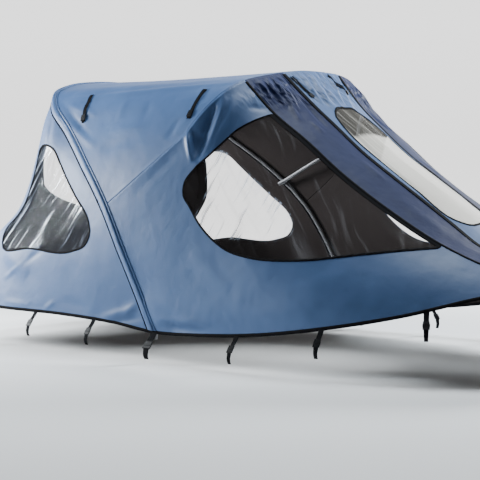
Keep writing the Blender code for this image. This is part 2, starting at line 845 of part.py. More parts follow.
def build_seam_tapes(grids, normals, arch, parts):
    """The sleeve over the main bow, the zip lines and the binding of the hem."""
    edge, shared, ways = arch
    sections = tape_sections(edge, shared, ways, SLEEVE_WIDTH, SLEEVE_LIFT, TAPE, SLEEVE_CROWN)
    sections = shortened(shortened(sections, SLEEVE_END)[::-1], SLEEVE_END)
    piece("bow_sleeve", loft_mesh("bow_sleeve", sections), "cloth", parts)
    for side, _ in SIDES:
        panel, band = "side_panel_" + side, "front_band_" + side
        lines = (
            ("line_one_tape_", panel, band, LINE_ONE_END),
            ("line_two_tape_", band, "front_panel", LINE_TWO_END),
        )
        for name, one, other, end in lines:
            line, inner = right(grids[one])
            meets = left if other != "front_panel" or side == "starboard" else right
            other_line, other_inner = meets(grids[other])
            seam_ways = (wing(line, inner), wing(other_line, other_inner))
            shared_line = right(normals[one])[0]
            loops = tape_sections(line, shared_line, seam_ways, LINE_TAPE_WIDTH, SEAM_LIFT, TAPE)
            loops = shortened(loops, end)
            piece(name + side, loft_mesh(name, loops), "tape", parts)
    hems = {
        "hem_tape_starboard": ("rear_side_panel_starboard", "side_panel_starboard"),
        "hem_tape_port": ("rear_side_panel_port", "side_panel_port"),
        "hem_tape_front": ("front_band_starboard", "front_panel", "front_band_port"),
        "hem_tape_rear": ("rear_curtain",),
    }
    for name, names in hems.items():
        lines, outward, inward = [], [], []
        for panel in names:
            pick = turned(bottom) if panel == "front_band_port" else bottom
            line, inner = pick(grids[panel])
            lines.append(line)
            outward.append(pick(normals[panel])[0])
            inward.append(wing(line, inner))
        line = joined(*lines)
        ways = (joined(*inward),)
        loops = tape_sections(line, joined(*outward), ways, HEM_TAPE_WIDTH, HEM_TAPE_LIFT, TAPE)
        loops = shortened(shortened(loops, HEM_TAPE_END)[::-1], HEM_TAPE_END)
        piece(name, loft_mesh(name, loops), "tape", parts)


def build_hem_straps(grids, parts):
    """Webbing straps with buckles that run from the hem over the boat's side."""
    run = np.array(HEM_STRAP_RUN)
    for side, turn in SIDES:
        line = joined(grids["rear_side_panel_" + side][:, 0], grids["side_panel_" + side][:, 0])
        for number, (place, width, lift) in enumerate(HEM_STRAPS, start=1):
            ends = place + np.array([-0.5, 0.5]) * width
            chord = np.stack([np.interp(ends, line[:, 0], line[:, k]) for k in range(3)], axis=1)
            seat = chord.mean(axis=0)
            along = (chord[1] - chord[0]) * (1.0, 1.0, 0.0)
            along /= np.linalg.norm(along)
            out = np.array([along[1], -along[0], 0.0]) * turn[1]
            up = np.array([0.0, 0.0, 1.0])
            path = seat + (run[:, :1] + lift) * out + run[:, 1:2] * up
            way = tangents(run[:, :2])
            normal = -way[:, 1:2] * out + way[:, :1] * up
            across = np.repeat(along[None], len(run), axis=0)
            loops = ribbon_sections(path, across, normal, width * run[:, 2], run[:, 3])
            name = "hem_strap_%s_%d" % (side, number)
            piece(name, loft_mesh(name, loops), "webbing", parts)


def strap_outline(start, end, width):
    """A straight strap's four corners in the plane that it is seen in."""
    start, end = np.array(start), np.array(end)
    way = (end - start) / np.linalg.norm(end - start)
    side = np.array([-way[1], way[0]]) * width / 2
    return np.array([start - side, end - side, end + side, start + side])


def build_roll_straps(grids, normals, parts, cutters):
    """Short straps that hold a rolled-up panel, laid on the cloth."""
    jobs = []
    for name, start, end in FRONT_STRAPS:
        jobs.append(("front_strap_" + name, "front_panel", start, end, 2, (0.0, PRISM_REACH)))
    for name, start, end in ROOF_STRAPS:
        spans = {"starboard": (-PRISM_REACH, -SHOULDER_INNER), "port": (SHOULDER_INNER, PRISM_REACH)}
        for side, span in spans.items():
            jobs.append(("roof_strap_%s_%s" % (side, name), "roof_panel", start, end, 1, span))
    for name, panel, start, end, axis, span in jobs:
        outline = strap_outline(start, end, ROLL_STRAP_WIDTH)
        cutter = prism(name + "_cut", outline, axis, cutters, span)
        mesh = shell_mesh(name, grids[panel], normals[panel], SEAM_LIFT + WEBBING, SEAM_LIFT)
        cut(piece(name, mesh, "webbing", parts), cutter, "INTERSECT")


def ring_loop(centre, axis, radius):
    """Points on a circle round an axis."""
    across = np.cross(axis, (0.0, 0.0, 1.0))
    across /= np.linalg.norm(across)
    third = np.cross(axis, across)
    angle = np.linspace(0.0, 2 * math.pi, RING_SIDES, endpoint=False)[:, None]
    return centre + radius * (np.cos(angle) * across + np.sin(angle) * third)


def build_bows(arch, front, grids, parts, cutters):
    """Both bows, and the hinge collars that carry the front bow on the main one."""
    drop = np.array([0.0, 0.0, -BOW_FOOT_DROP])
    path = bow_path(arch, grids)
    path = np.vstack([path[0] + drop, path, path[-1] + drop])
    tube("main_bow", path, "tube", parts)
    ridge = bow_path(front, grids)
    leads = []
    for side, leg, first in (("starboard", path, ridge), ("port", path[::-1], ridge[::-1])):
        middles = (leg[1:] + leg[:-1]) / 2
        half = len(middles) // 2
        k = int(np.argmin(np.abs(middles[:half, 2] - HINGE_HEIGHT)))
        centre = middles[k]
        axis = leg[k + 1] - leg[k]
        axis /= np.linalg.norm(axis)
        inward = np.array([0.0, -np.sign(centre[1]), 0.0])
        inward -= axis * (inward @ axis)
        inward /= np.linalg.norm(inward)
        name = "bow_hinge_" + side
        third = np.cross(axis, inward) * HINGE_WIDTH / 2
        near = inward * HINGE_LIP
        far = inward * (HINGE_REACH - TUBE_RADIUS - HINGE_AIR)
        block = []
        for step in (-0.5, 0.5):
            end = centre + axis * HINGE_LENGTH * step
            block.append((end + near - third, end + near + third, end + far + third, end + far - third))
        saddle = piece(name, loft_mesh(name, np.array(block)), "tube", parts)
        ends = (centre - axis * HINGE_LENGTH, centre + axis * HINGE_LENGTH)
        loops = np.stack([ring_loop(end, axis, TUBE_RADIUS + HINGE_BORE_AIR) for end in ends])
        bore = bpy.data.objects.new(name + "_bore", loft_mesh(name + "_bore", loops))
        bore.hide_render = True
        bore.display_type = "WIRE"
        cutters.objects.link(bore)
        cut(saddle, bore, "DIFFERENCE")
        seat = centre + inward * HINGE_REACH
        ahead = first[0] - seat
        ahead -= inward * (inward @ ahead)
        ahead *= HINGE_TAIL / np.linalg.norm(ahead)
        middle = (seat + first[1]) / 2 + inward * LEAD_SAG
        rows = np.stack([seat + ahead, middle, first[1], first[LEAD_AIM]])
        leads.append(np.vstack([seat - ahead, smooth_curve(rows, 0, 2, LEAD_STEPS)]))
    tube("front_bow", joined(leads[0], ridge[1:-1], leads[1][::-1]), "tube", parts)


def main():
    """Clear the scene and build the canopy."""
    for old in list(bpy.data.objects):
        bpy.data.objects.remove(old, do_unlink=True)
    parts = bpy.data.collections.new(COLLECTION)
    cutters = bpy.data.collections.new(COLLECTION + "_cutters")
    bpy.context.scene.collection.children.link(parts)
    bpy.context.scene.collection.children.link(cutters)
    grids = panel_grids()
    normals = shared_normals(grids)
    arch = main_arch(grids, normals)
    build_panels_and_windows(grids, normals, parts, cutters)
    build_seam_tapes(grids, normals, arch, parts)
    build_hem_straps(grids, parts)
    build_roll_straps(grids, normals, parts, cutters)
    build_bows(arch, front_arch(grids, normals), grids, parts, cutters)


main()
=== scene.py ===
"""Looks of the boat canopy: sewn cloth, clear windows, tapes, webbing and bows.

Every panel is computed again on a fine grid from the curves of the fixed frame, with its
wrinkles, and takes the place of its plain solid. Units are metres; X points to the bow,
Y to port and Z up.
"""
from __future__ import annotations

import json
import logging
import math
from dataclasses import dataclass, field
from enum import Enum, IntEnum
from typing import Callable, Sequence

import bmesh
import bpy
import numpy as np
from mathutils import Matrix, Vector

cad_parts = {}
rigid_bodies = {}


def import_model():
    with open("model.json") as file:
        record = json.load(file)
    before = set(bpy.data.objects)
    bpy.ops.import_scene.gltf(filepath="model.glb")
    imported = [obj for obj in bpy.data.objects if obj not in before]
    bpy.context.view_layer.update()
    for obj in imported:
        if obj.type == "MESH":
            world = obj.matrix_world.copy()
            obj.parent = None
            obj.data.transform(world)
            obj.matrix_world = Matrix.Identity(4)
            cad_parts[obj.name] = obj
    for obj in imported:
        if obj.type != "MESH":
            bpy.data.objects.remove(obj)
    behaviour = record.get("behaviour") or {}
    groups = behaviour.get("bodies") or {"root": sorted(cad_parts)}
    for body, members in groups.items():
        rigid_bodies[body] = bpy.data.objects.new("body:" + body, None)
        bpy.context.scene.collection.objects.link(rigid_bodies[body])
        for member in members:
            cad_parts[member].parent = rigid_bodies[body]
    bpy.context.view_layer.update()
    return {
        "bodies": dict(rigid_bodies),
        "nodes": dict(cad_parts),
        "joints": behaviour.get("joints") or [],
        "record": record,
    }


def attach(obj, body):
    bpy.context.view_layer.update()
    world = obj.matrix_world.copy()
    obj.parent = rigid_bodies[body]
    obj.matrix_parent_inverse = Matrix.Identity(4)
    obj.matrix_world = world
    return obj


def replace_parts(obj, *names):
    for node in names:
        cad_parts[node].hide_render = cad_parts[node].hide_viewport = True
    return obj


LOG = logging.getLogger("canopy")
BODY = "root"

# Thickness of cloth, tape and webbing, and the gaps between what lies on each other
CLOTH = 0.0014
FILM_GAP = 0.0004
TAPE = 0.0009
TAPE_LIFT = 0.0005
WEBBING = 0.0018

# Distance from line one to the side window's last edge
WINDOW_MARGIN = 0.010

# A tape's width follows the way into its panel where that way's part square to the edge is
# over this share, and stands square to the edge elsewhere
SLANT = 0.75

# Points inside the canopy, from which cloth and tapes face away
MIDDLE = (0.0, 0.0, 0.45)
LOW_MIDDLE = (0.0, 0.0, 0.3)

# Grid steps along each seam: fine ones, in step with those of the fixed frame
FINE = 12
STEPS_LEG = 10 * 15
STEPS_SHOULDER = 7 * FINE
STEPS_CORNER = FINE
STEPS_REAR_CROWN = 12 * FINE
STEPS_SEAM = 6 * FINE
STEPS_RIDGE = 8 * FINE
STEPS_BAND = 3 * FINE
STEPS_FRONT_CROWN = 6 * FINE
STEPS_REAR_HEM = STEPS_SHOULDER + STEPS_CORNER
# One step of the fixed frame, in steps up a panel
STEP_UP = STEPS_LEG // 10

# Main bow, starboard foot to crown. Columns: x, y, z
MAIN_BOW = (
    (0.000, -0.862, 0.000),
    (-0.073, -0.866, 0.152),
    (-0.198, -0.870, 0.386),
    (-0.330, -0.845, 0.592),
    (-0.548, -0.770, 0.815),
    (-0.745, -0.680, 0.978),
    (-0.930, -0.600, 1.115),
    (-1.000, -0.520, 1.185),
    (-1.030, -0.380, 1.234),
    (-1.040, -0.200, 1.260),
    (-1.040, 0.000, 1.270),
)
LEG_TOP, CORNER_LOW, CORNER_HIGH = 3, 6, 7

# Front bow line, starboard to port, with the port shoulder pulled a little higher.
# Columns: x, y, z
FRONT_BOW = (
    (0.096, -0.750, 0.930),
    (0.156, -0.690, 1.038),
    (0.235, -0.600, 1.146),
    (0.262, -0.500, 1.194),
    (0.282, -0.370, 1.224),
    (0.293, -0.240, 1.246),
    (0.303, -0.120, 1.263),
    (0.309, 0.000, 1.269),
    (0.306, 0.120, 1.270),
    (0.300, 0.240, 1.267),
    (0.288, 0.370, 1.246),
    (0.262, 0.500, 1.194),
    (0.235, 0.600, 1.146),
    (0.156, 0.690, 1.038),
    (0.096, 0.750, 0.930),
)
LINE_ONE_TOP, LINE_TWO_TOP = 3, 5

# Seam from the main bow to the foot of the ridge. Columns: x, y, z
ROOF_SEAM = (
    (-0.330, -0.845, 0.592),
    (-0.149, -0.825, 0.722),
    (0.096, -0.750, 0.930),
)

# Hem on the boat's side, stern to bow. Columns: x, y, z
HEM = (
    (-1.500, -0.800, 0.072),
    (-1.058, -0.865, 0.058),
    (-0.600, -0.872, 0.050),
    (-0.250, -0.868, 0.030),
    (0.000, -0.862, 0.000),
    (0.250, -0.867, 0.004),
    (0.506, -0.868, 0.019),
    (0.965, -0.850, 0.080),
    (1.300, -0.750, 0.148),
    (1.563, -0.590, 0.225),
    (1.780, -0.390, 0.276),
    (1.900, -0.200, 0.302),
    (1.945, 0.000, 0.310),
)
HEM_FOOT, HEM_LINE_ONE, HEM_LINE_TWO = 4, 10, 11

# Zip line between side and band, hem to front bow. Columns: x, y, z
LINE_ONE = (
    (1.780, -0.390, 0.276),
    (1.510, -0.445, 0.352),
    (1.302, -0.452, 0.437),
    (1.043, -0.445, 0.576),
    (0.789, -0.455, 0.745),
    (0.591, -0.465, 0.904),
    (0.427, -0.482, 1.028),
    (0.262, -0.500, 1.194),
)

# Zip line between band and front panel, hem to front bow. Columns: x, y, z
LINE_TWO = (
    (1.900, -0.200, 0.302),
    (1.620, -0.215, 0.338),
    (1.369, -0.220, 0.420),
    (1.218, -0.212, 0.520),
    (1.047, -0.210, 0.638),
    (0.911, -0.212, 0.731),
    (0.742, -0.211, 0.849),
    (0.589, -0.212, 0.976),
    (0.465, -0.222, 1.083),
    (0.293, -0.240, 1.246),
)

# Rear corner seam, hem to main bow. Columns: x, y, z
REAR_CORNER = (
    (-1.500, -0.800, 0.072),
    (-1.330, -0.772, 0.270),
    (-1.189, -0.750, 0.450),
    (-1.077, -0.722, 0.564),
    (-1.022, -0.698, 0.690),
    (-1.010, -0.665, 0.807),
    (-1.003, -0.640, 0.903),
    (-1.002, -0.600, 1.030),
    (-1.000, -0.520, 1.185),
)

# Hem of the rear curtain, starboard corner to middle. Columns: x, y, z
TRANSOM_HEM = (
    (-1.500, -0.800, 0.072),
    (-1.535, -0.400, 0.070),
    (-1.545, 0.000, 0.070),
)

# Windows on the sides, seen along Y. Columns: x, z. The side window's last edge follows
# line one between the two rows named here
WINDOW_LINE_FIRST, WINDOW_LINE_LAST = 2, 6
SIDE_WINDOW = (
    (0.335, 0.945),
    (0.251, 0.838),
    (0.181, 0.765),
    (0.142, 0.709),
    (0.142, 0.655),
    (0.190, 0.594),
    (0.244, 0.526),
    (0.320, 0.459),
    (0.421, 0.402),
    (0.527, 0.377),
    (0.800, 0.370),
    (1.026, 0.398),
    (1.190, 0.418),
)
REAR_SIDE_WINDOW = (
    (-0.900, 0.900),
    (-0.950, 0.885),
    (-0.960, 0.806),
    (-0.976, 0.690),
    (-0.995, 0.620),
    (-1.060, 0.530),
    (-1.130, 0.450),
    (-1.125, 0.392),
    (-0.866, 0.376),
    (-0.545, 0.372),
    (-0.455, 0.405),
    (-0.426, 0.461),
    (-0.442, 0.515),
    (-0.567, 0.641),
    (-0.653, 0.722),
    (-0.734, 0.803),
    (-0.820, 0.882),
)
# Window in the front panel, seen from above: its starboard half. Columns: x, y
FRONT_WINDOW = (
    (0.508, 0.000),
    (0.515, -0.085),
    (0.545, -0.140),
    (0.600, -0.160),
    (0.800, -0.162),
    (1.000, -0.168),
    (1.205, -0.168),
    (1.255, -0.120),
    (1.262, 0.000),
)
# Window in the rear curtain, seen along X: its port half. Columns: y, z
REAR_WINDOW = (
    (0.515, 0.665),
    (0.554, 0.682),
    (0.570, 0.720),
    (0.555, 0.955),
    (0.532, 1.000),
    (0.485, 1.020),
)

# Folds on the starboard panels: start, end, half width, rise (below zero for a trough)
SIDE_FOLDS = (
    ((0.208, -0.660, 1.070), (0.168, -0.760, 0.800), 0.023, -0.028),
    ((0.150, -0.720, 0.960), (0.172, -0.750, 0.830), 0.020, -0.016),
    ((0.250, -0.620, 1.110), (0.212, -0.735, 0.830), 0.013, 0.012),
    ((0.108, -0.750, 0.940), (0.160, -0.765, 0.800), 0.013, 0.009),
    ((0.203, -0.655, 1.060), (0.172, -0.735, 0.870), 0.006, 0.007),
    ((0.300, -0.560, 1.120), (0.240, -0.790, 0.820), 0.034, 0.008),
    ((-0.060, -0.840, 0.150), (0.120, -0.860, 0.030), 0.050, 0.008),
    ((-1.080, -0.800, 0.360), (-0.860, -0.840, 0.240), 0.050, 0.010),
)
# Folds on the front panel, fanning out below the bow. Same columns
FRONT_FOLDS = (
    ((0.330, -0.120, 1.220), (0.560, -0.080, 1.020), 0.040, 0.007),
    ((0.330, 0.080, 1.230), (0.560, 0.050, 1.030), 0.040, 0.007),
)

# Wrinkles drawn on a panel as fractions across and up it.
# Columns: from across, from up, to across, to up, half width, rise
WRINKLES = {
    "roof_panel": (
        (0.250, 0.100, 0.215, 0.170, 0.014, 0.0045),
        (0.262, 0.036, 0.175, 0.110, 0.016, -0.0050),
        (0.256, 0.143, 0.194, 0.229, 0.015, 0.0040),
        (0.250, 0.429, 0.169, 0.350, 0.020, 0.0030),
        (0.213, 0.014, 0.112, 0.136, 0.022, 0.0060),
        (0.225, 0.557, 0.156, 0.543, 0.024, -0.0030),
        (0.206, 0.707, 0.188, 0.821, 0.018, 0.0030),
        (0.150, 0.279, 0.125, 0.571, 0.030, 0.0035),
        (0.112, 0.807, 0.044, 0.764, 0.022, -0.0040),
        (0.231, 0.057, 0.138, 0.136, 0.014, -0.0040),
        (0.106, 0.164, 0.100, 0.493, 0.034, -0.0035),
        (0.240, 0.860, 0.150, 0.930, 0.018, -0.0060),
        (0.255, 0.820, 0.180, 0.900, 0.016, 0.0050),
        (0.258, 0.020, 0.266, 0.980, 0.024, 0.0090),
        (0.742, 0.020, 0.734, 0.980, 0.024, 0.0090),
        (0.300, 0.050, 0.300, 0.900, 0.060, 0.0050),
        (0.420, 0.080, 0.460, 0.930, 0.070, -0.0040),
        (0.560, 0.100, 0.540, 0.900, 0.060, 0.0040),
        (0.750, 0.100, 0.790, 0.200, 0.018, 0.0045),
        (0.740, 0.040, 0.830, 0.120, 0.016, -0.0050),
        (0.745, 0.560, 0.850, 0.540, 0.024, 0.0030),
        (0.760, 0.860, 0.850, 0.930, 0.018, -0.0050),
    ),
    "rear_side_panel": (
        (0.230, 0.160, 0.345, 0.320, 0.016, 0.0060),
        (0.260, 0.220, 0.410, 0.370, 0.018, -0.0055),
        (0.513, 0.010, 0.556, 0.080, 0.016, 0.0045),
        (0.775, 0.010, 0.960, 0.171, 0.020, 0.0060),
        (0.825, 0.005, 0.980, 0.114, 0.016, -0.0050),
        (0.880, 0.060, 0.980, 0.229, 0.022, 0.0045),
        (0.294, 0.043, 0.438, 0.036, 0.020, 0.0035),
        (0.575, 0.093, 0.725, 0.064, 0.026, -0.0030),
        (0.162, 0.960, 0.206, 0.840, 0.016, -0.0040),
    ),
    "side_panel": (
        (0.030, 0.070, 0.185, 0.030, 0.022, -0.0090),
        (0.020, 0.110, 0.210, 0.085, 0.024, 0.0060),
        (0.030, 0.280, 0.170, 0.110, 0.030, 0.0040),
        (0.256, 0.493, 0.331, 0.271, 0.040, 0.0040),
        (0.538, 0.214, 0.731, 0.250, 0.050, 0.0030),
        (0.819, 0.995, 0.562, 0.921, 0.014, 0.0090),
        (0.760, 0.995, 0.500, 0.930, 0.012, -0.0070),
        (0.850, 0.970, 0.706, 0.880, 0.018, 0.0050),
        (0.465, 0.995, 0.430, 0.930, 0.012, 0.0080),
        (0.500, 0.990, 0.452, 0.915, 0.010, -0.0060),
        (0.344, 0.214, 0.513, 0.171, 0.050, -0.0035),
        (0.881, 0.920, 0.985, 0.890, 0.016, -0.0040),
        (0.985, 0.960, 0.940, 0.900, 0.012, 0.0040),
        (0.120, 0.920, 0.400, 0.960, 0.024, -0.0030),
    ),
    "front_band": (
        (0.275, 0.985, 0.231, 0.921, 0.010, 0.0070),
        (0.475, 0.985, 0.356, 0.885, 0.010, 0.0080),
        (0.620, 0.985, 0.413, 0.871, 0.012, -0.0070),
        (0.150, 0.985, 0.200, 0.930, 0.009, -0.0050),
        (0.700, 0.970, 0.338, 0.829, 0.014, 0.0070),
        (0.380, 0.970, 0.270, 0.893, 0.009, -0.0070),
        (0.780, 0.960, 0.525, 0.857, 0.012, 0.0060),
        (0.544, 0.821, 0.569, 0.764, 0.012, 0.0035),
        (0.712, 0.657, 0.712, 0.560, 0.016, 0.0030),
        (0.860, 0.900, 0.740, 0.780, 0.016, -0.0050),
        (0.500, 0.150, 0.500, 0.500, 0.040, 0.0035),
    ),
    "front_panel": (
        (0.244, 0.985, 0.156, 0.880, 0.011, 0.0060),
        (0.400, 0.990, 0.262, 0.876, 0.012, 0.0075),
        (0.569, 0.993, 0.338, 0.860, 0.013, -0.0065),
        (0.320, 0.990, 0.200, 0.860, 0.010, -0.0060),
        (0.744, 0.985, 0.562, 0.880, 0.012, 0.0070),
        (0.838, 0.985, 0.575, 0.860, 0.012, -0.0060),
        (0.088, 0.970, 0.119, 0.880, 0.010, -0.0050),
        (0.930, 0.985, 0.669, 0.850, 0.013, 0.0070),
        (0.970, 0.986, 0.880, 0.880, 0.010, -0.0055),
        (0.480, 0.980, 0.440, 0.850, 0.012, 0.0060),
        (0.660, 0.985, 0.600, 0.860, 0.010, -0.0045),
        (0.180, 0.780, 0.100, 0.500, 0.014, -0.0040),
        (0.860, 0.800, 0.900, 0.450, 0.014, 0.0040),
        (0.500, 0.060, 0.480, 0.250, 0.040, 0.0040),
    ),
    "rear_curtain": (
        (0.080, 0.100, 0.220, 0.450, 0.030, 0.0070),
        (0.920, 0.100, 0.780, 0.450, 0.030, 0.0070),
        (0.300, 0.060, 0.330, 0.400, 0.040, -0.0060),
        (0.520, 0.050, 0.500, 0.420, 0.045, 0.0060),
        (0.700, 0.060, 0.680, 0.400, 0.040, -0.0060),
        (0.060, 0.900, 0.200, 0.960, 0.020, 0.0050),
        (0.940, 0.900, 0.800, 0.960, 0.020, 0.0050),
    ),
}
# Distance from a panel's edge over which its wrinkles and its large folds grow, the rise of
# the wrinkles in front and elsewhere over the one in the table, and how full a fold's ends are
WRINKLE_FADE = 0.014
FOLD_FADE = 0.022
FRONT_GAIN, OTHER_GAIN = 1.35, 0.85
FOLD_FULLNESS = 0.7

# Straps over the boat's side. Columns: x, width, stand-off from the hem's line
HEM_STRAPS = (
    (-1.200, 0.025, 0.0022),
    (-0.780, 0.025, 0.0023),
    (-0.375, 0.025, 0.0026),
    (0.008, 0.038, 0.0030),
    (0.506, 0.025, 0.0030),
    (0.950, 0.025, 0.0024),
    (1.377, 0.025, 0.0020),
)
# The run of a hem strap's webbing. Columns: out, up, width share
HEM_STRAP_RUN = (
    (0.0000, 0.011, 1.00),
    (0.0000, 0.002, 1.00),
    (0.0060, -0.006, 0.98),
    (0.0150, -0.018, 0.94),
    (0.0330, -0.036, 0.92),
    (0.0555, -0.067, 0.90),
    (0.0610, -0.090, 0.80),
    (0.0590, -0.103, 0.74),
    (0.0530, -0.115, 0.70),
)

# Roll-up straps on the roof's shoulders, seen along Y: start and end. Columns: x, z
ROOF_STRAPS = (
    ("aft", (-0.685, 1.160), (-0.648, 1.012)),
    ("fore", (0.088, 1.151), (0.086, 1.007)),
)
# Roll-up straps on the front panel, seen from above: start and end. Columns: x, y
FRONT_STRAPS = (
    ("starboard", (0.322, -0.206), (0.426, -0.174)),
    ("port", (0.322, 0.107), (0.404, 0.175)),
)

# Lengths of hem tape, with the panels that each one binds
HEM_TAPES = {
    "hem_tape_starboard": ("rear_side_panel_starboard", "side_panel_starboard"),
    "hem_tape_port": ("rear_side_panel_port", "side_panel_port"),
    "hem_tape_front": ("front_band_starboard", "front_panel", "front_band_port"),
    "hem_tape_rear": ("rear_curtain",),
}


class Side(Enum):
    """A side of the canopy, with the turn that carries starboard points to it."""

    STARBOARD = ("starboard", 1.0)
    PORT = ("port", -1.0)

    @property
    def label(self) -> str:
        """The word for this side in names."""
        return self.value[0]

    @property
    def turn(self) -> np.ndarray:
        """Factors on X, Y and Z that carry starboard points to this side."""
        return np.array([1.0, self.value[1], 1.0])


class Border(Enum):
    """An edge of a panel's grid."""

    LEFT = "left"
    RIGHT = "right"
    BOTTOM = "bottom"
    TOP = "top"


class Stuff(IntEnum):
    """What a face of a strap is made of, as the number of its material."""

    WEBBING = 0
    PLASTIC = 1
    CLOTH = 2


def smooth_curve(rows: Sequence, first: int, last: int, steps: int) -> np.ndarray:
    """Even points of the cubic curve through rows.

    Between two rows it is the cubic that meets both with the slopes of the rows around them.

    Args:
        rows: points that the curve passes through.
        first: number of the row where the stretch starts.
        last: number of the row where it ends.
        steps: number of even steps in the stretch.

    Returns:
        steps + 1 points.
    """
    points = np.asarray(rows, float)
    chord = np.linalg.norm(np.diff(points, axis=0), axis=1)
    place = np.concatenate([[0.0], np.cumsum(chord)])
    slope = np.gradient(points, place, axis=0)
    t = np.linspace(0.0, 1.0, 25)[:, None]
    fine = [
        (2 * t**3 - 3 * t**2 + 1) * points[k]
        + (t**3 - 2 * t**2 + t) * chord[k] * slope[k]
        + (3 * t**2 - 2 * t**3) * points[k + 1]
        + (t**3 - t**2) * chord[k] * slope[k + 1]
        for k in range(first, last)
    ]
    return resampled(np.vstack(fine), steps)


def resampled(line: np.ndarray, steps: int) -> np.ndarray:
    """The same polyline with its points spread evenly by length.

    Args:
        line: points of the polyline.
        steps: number of even steps.

    Returns:
        steps + 1 points.
    """
    run = run_length(line)
    even = np.linspace(0.0, run[-1], steps + 1)
    return np.stack([np.interp(even, run, line[:, k]) for k in range(line.shape[1])], axis=1)


def run_length(line: np.ndarray) -> np.ndarray:
    """Length along a polyline at each of its points."""
    return np.concatenate([[0.0], np.cumsum(np.linalg.norm(np.diff(line, axis=0), axis=1))])


def joined(*lines: np.ndarray) -> np.ndarray:
    """Lines that meet end to start, as one line."""
    return np.vstack([lines[0]] + [line[1:] for line in lines[1:]])


def mirrored(points: Sequence) -> np.ndarray:
    """The same points on the other side of the centre plane."""
    return np.asarray(points, float) * (1.0, -1.0, 1.0)


def whole_arch(rows: Sequence) -> np.ndarray:
    """Rows from the starboard side to the middle, carried on to the port side."""
    points = np.asarray(rows, float)
    return np.vstack([points, mirrored(points[-2::-1])])


def patch(
    bottom: np.ndarray, top: np.ndarray, left: np.ndarray, right: np.ndarray
) -> np.ndarray:
    """Surface between four edges that meet at their ends.

    It is the surface ruled from bottom to top, plus the one ruled from
    left to right, less the bilinear surface through the four corners.

    Args:
        bottom: edge at v = 0, where u runs along it.
        top: edge at v = 1.
        left: edge at u = 0, where v runs along it.
        right: edge at u = 1.

    Returns:
        A grid of points, u by v by three.
    """
    u = np.linspace(0.0, 1.0, len(bottom))[:, None, None]
    v = np.linspace(0.0, 1.0, len(left))[None, :, None]
    between_rows = (1 - v) * bottom[:, None] + v * top[:, None]
    between_columns = (1 - u) * left[None] + u * right[None]
    corners = (
        (1 - u) * (1 - v) * bottom[0]
        + u * (1 - v) * bottom[-1]
        + (1 - u) * v * top[0]
        + u * v * top[-1]
    )
    return between_rows + between_columns - corners


def unit(vectors: np.ndarray) -> np.ndarray:
    """The vectors at length one."""
    return vectors / np.maximum(np.linalg.norm(vectors, axis=-1, keepdims=True), 1e-12)


def tangents(line: np.ndarray) -> np.ndarray:
    """Unit directions along a line at each of its points."""
    return unit(np.gradient(line, axis=0))


def grid_normals(grid: np.ndarray) -> np.ndarray:
    """Unit normals of a grid, pointing out of the canopy."""
    normal = unit(np.cross(np.gradient(grid, axis=0), np.gradient(grid, axis=1)))
    return normal if np.sum(normal * (grid - MIDDLE)) > 0 else -normal


@dataclass
class Surface:
    """Triangles with what is known at each corner.

    Attributes:
        data: a row for each point: place, normal, metric u and v, distance to the seam.
        faces: three point numbers for each triangle, counter-clockwise from outside.
    """

    data: np.ndarray
    faces: np.ndarray

    @property
    def place(self) -> np.ndarray:
        """Where the points are."""
        return self.data[:, :3]

    @property
    def normal(self) -> np.ndarray:
        """Outward unit normals."""
        return self.data[:, 3:6]

    @property
    def metres(self) -> np.ndarray:
        """Lengths across and up the panel, for the UV map."""
        return self.data[:, 6:8]

    @property
    def seam(self) -> np.ndarray:
        """Distance to the nearest edge of the panel."""
        return self.data[:, 8]

    def area(self) -> float:
        """Area of all the triangles, in square metres."""
        a, b, c = (self.place[self.faces[:, k]] for k in range(3))
        return float(np.linalg.norm(np.cross(b - a, c - a), axis=1).sum() / 2)

    def clipped(self, level: np.ndarray) -> "Surface":
        """The part where a level is above zero, cut along the line where it is zero.

        Args:
            level: a value at each point.

        Returns:
            A new surface with only the points that it uses.
        """
        faces = self.faces
        within = level[faces] > 0
        count = within.sum(axis=1)
        whole = faces[count == 3]
        one = self._turned(faces[count == 1], within[count == 1])
        two = self._turned(faces[count == 2], ~within[count == 2])
        inner = np.concatenate([one[:, 0], one[:, 0], two[:, 1], two[:, 2]])
        outer = np.concatenate([one[:, 1], one[:, 2], two[:, 0], two[:, 0]])
        pairs, number = np.unique(np.stack([inner, outer], 1), axis=0, return_inverse=True)
        number = number.reshape(-1)
        share = level[pairs[:, 0]] / (level[pairs[:, 0]] - level[pairs[:, 1]])
        share = share[:, None]
        added = self.data[pairs[:, 0]] * (1 - share) + self.data[pairs[:, 1]] * share
        number = number + len(self.data)
        n, m = len(one), len(two)
        first = np.stack([one[:, 0], number[:n], number[n : 2 * n]], 1)
        near, far = number[2 * n : 2 * n + m], number[2 * n + m :]
        second = np.stack([near, two[:, 1], two[:, 2]], 1)
        third = np.stack([near, two[:, 2], far], 1)
        kept = np.vstack([whole, first, second, third])
        used, packed = np.unique(kept, return_inverse=True)
        data = np.vstack([self.data, added])[used]
        return Surface(data, packed.reshape(-1, 3))

    @staticmethod
    def _turned(faces: np.ndarray, marked: np.ndarray) -> np.ndarray:
        """Triangles turned so that their one marked corner comes first.

        Args:
            faces: the triangles.
            marked: which of their corners are marked.

        Returns:
            The turned triangles.
        """
        start = np.argmax(marked, axis=1)
        order = (start[:, None] + np.arange(3)) % 3
        return np.take_along_axis(faces, order, axis=1)


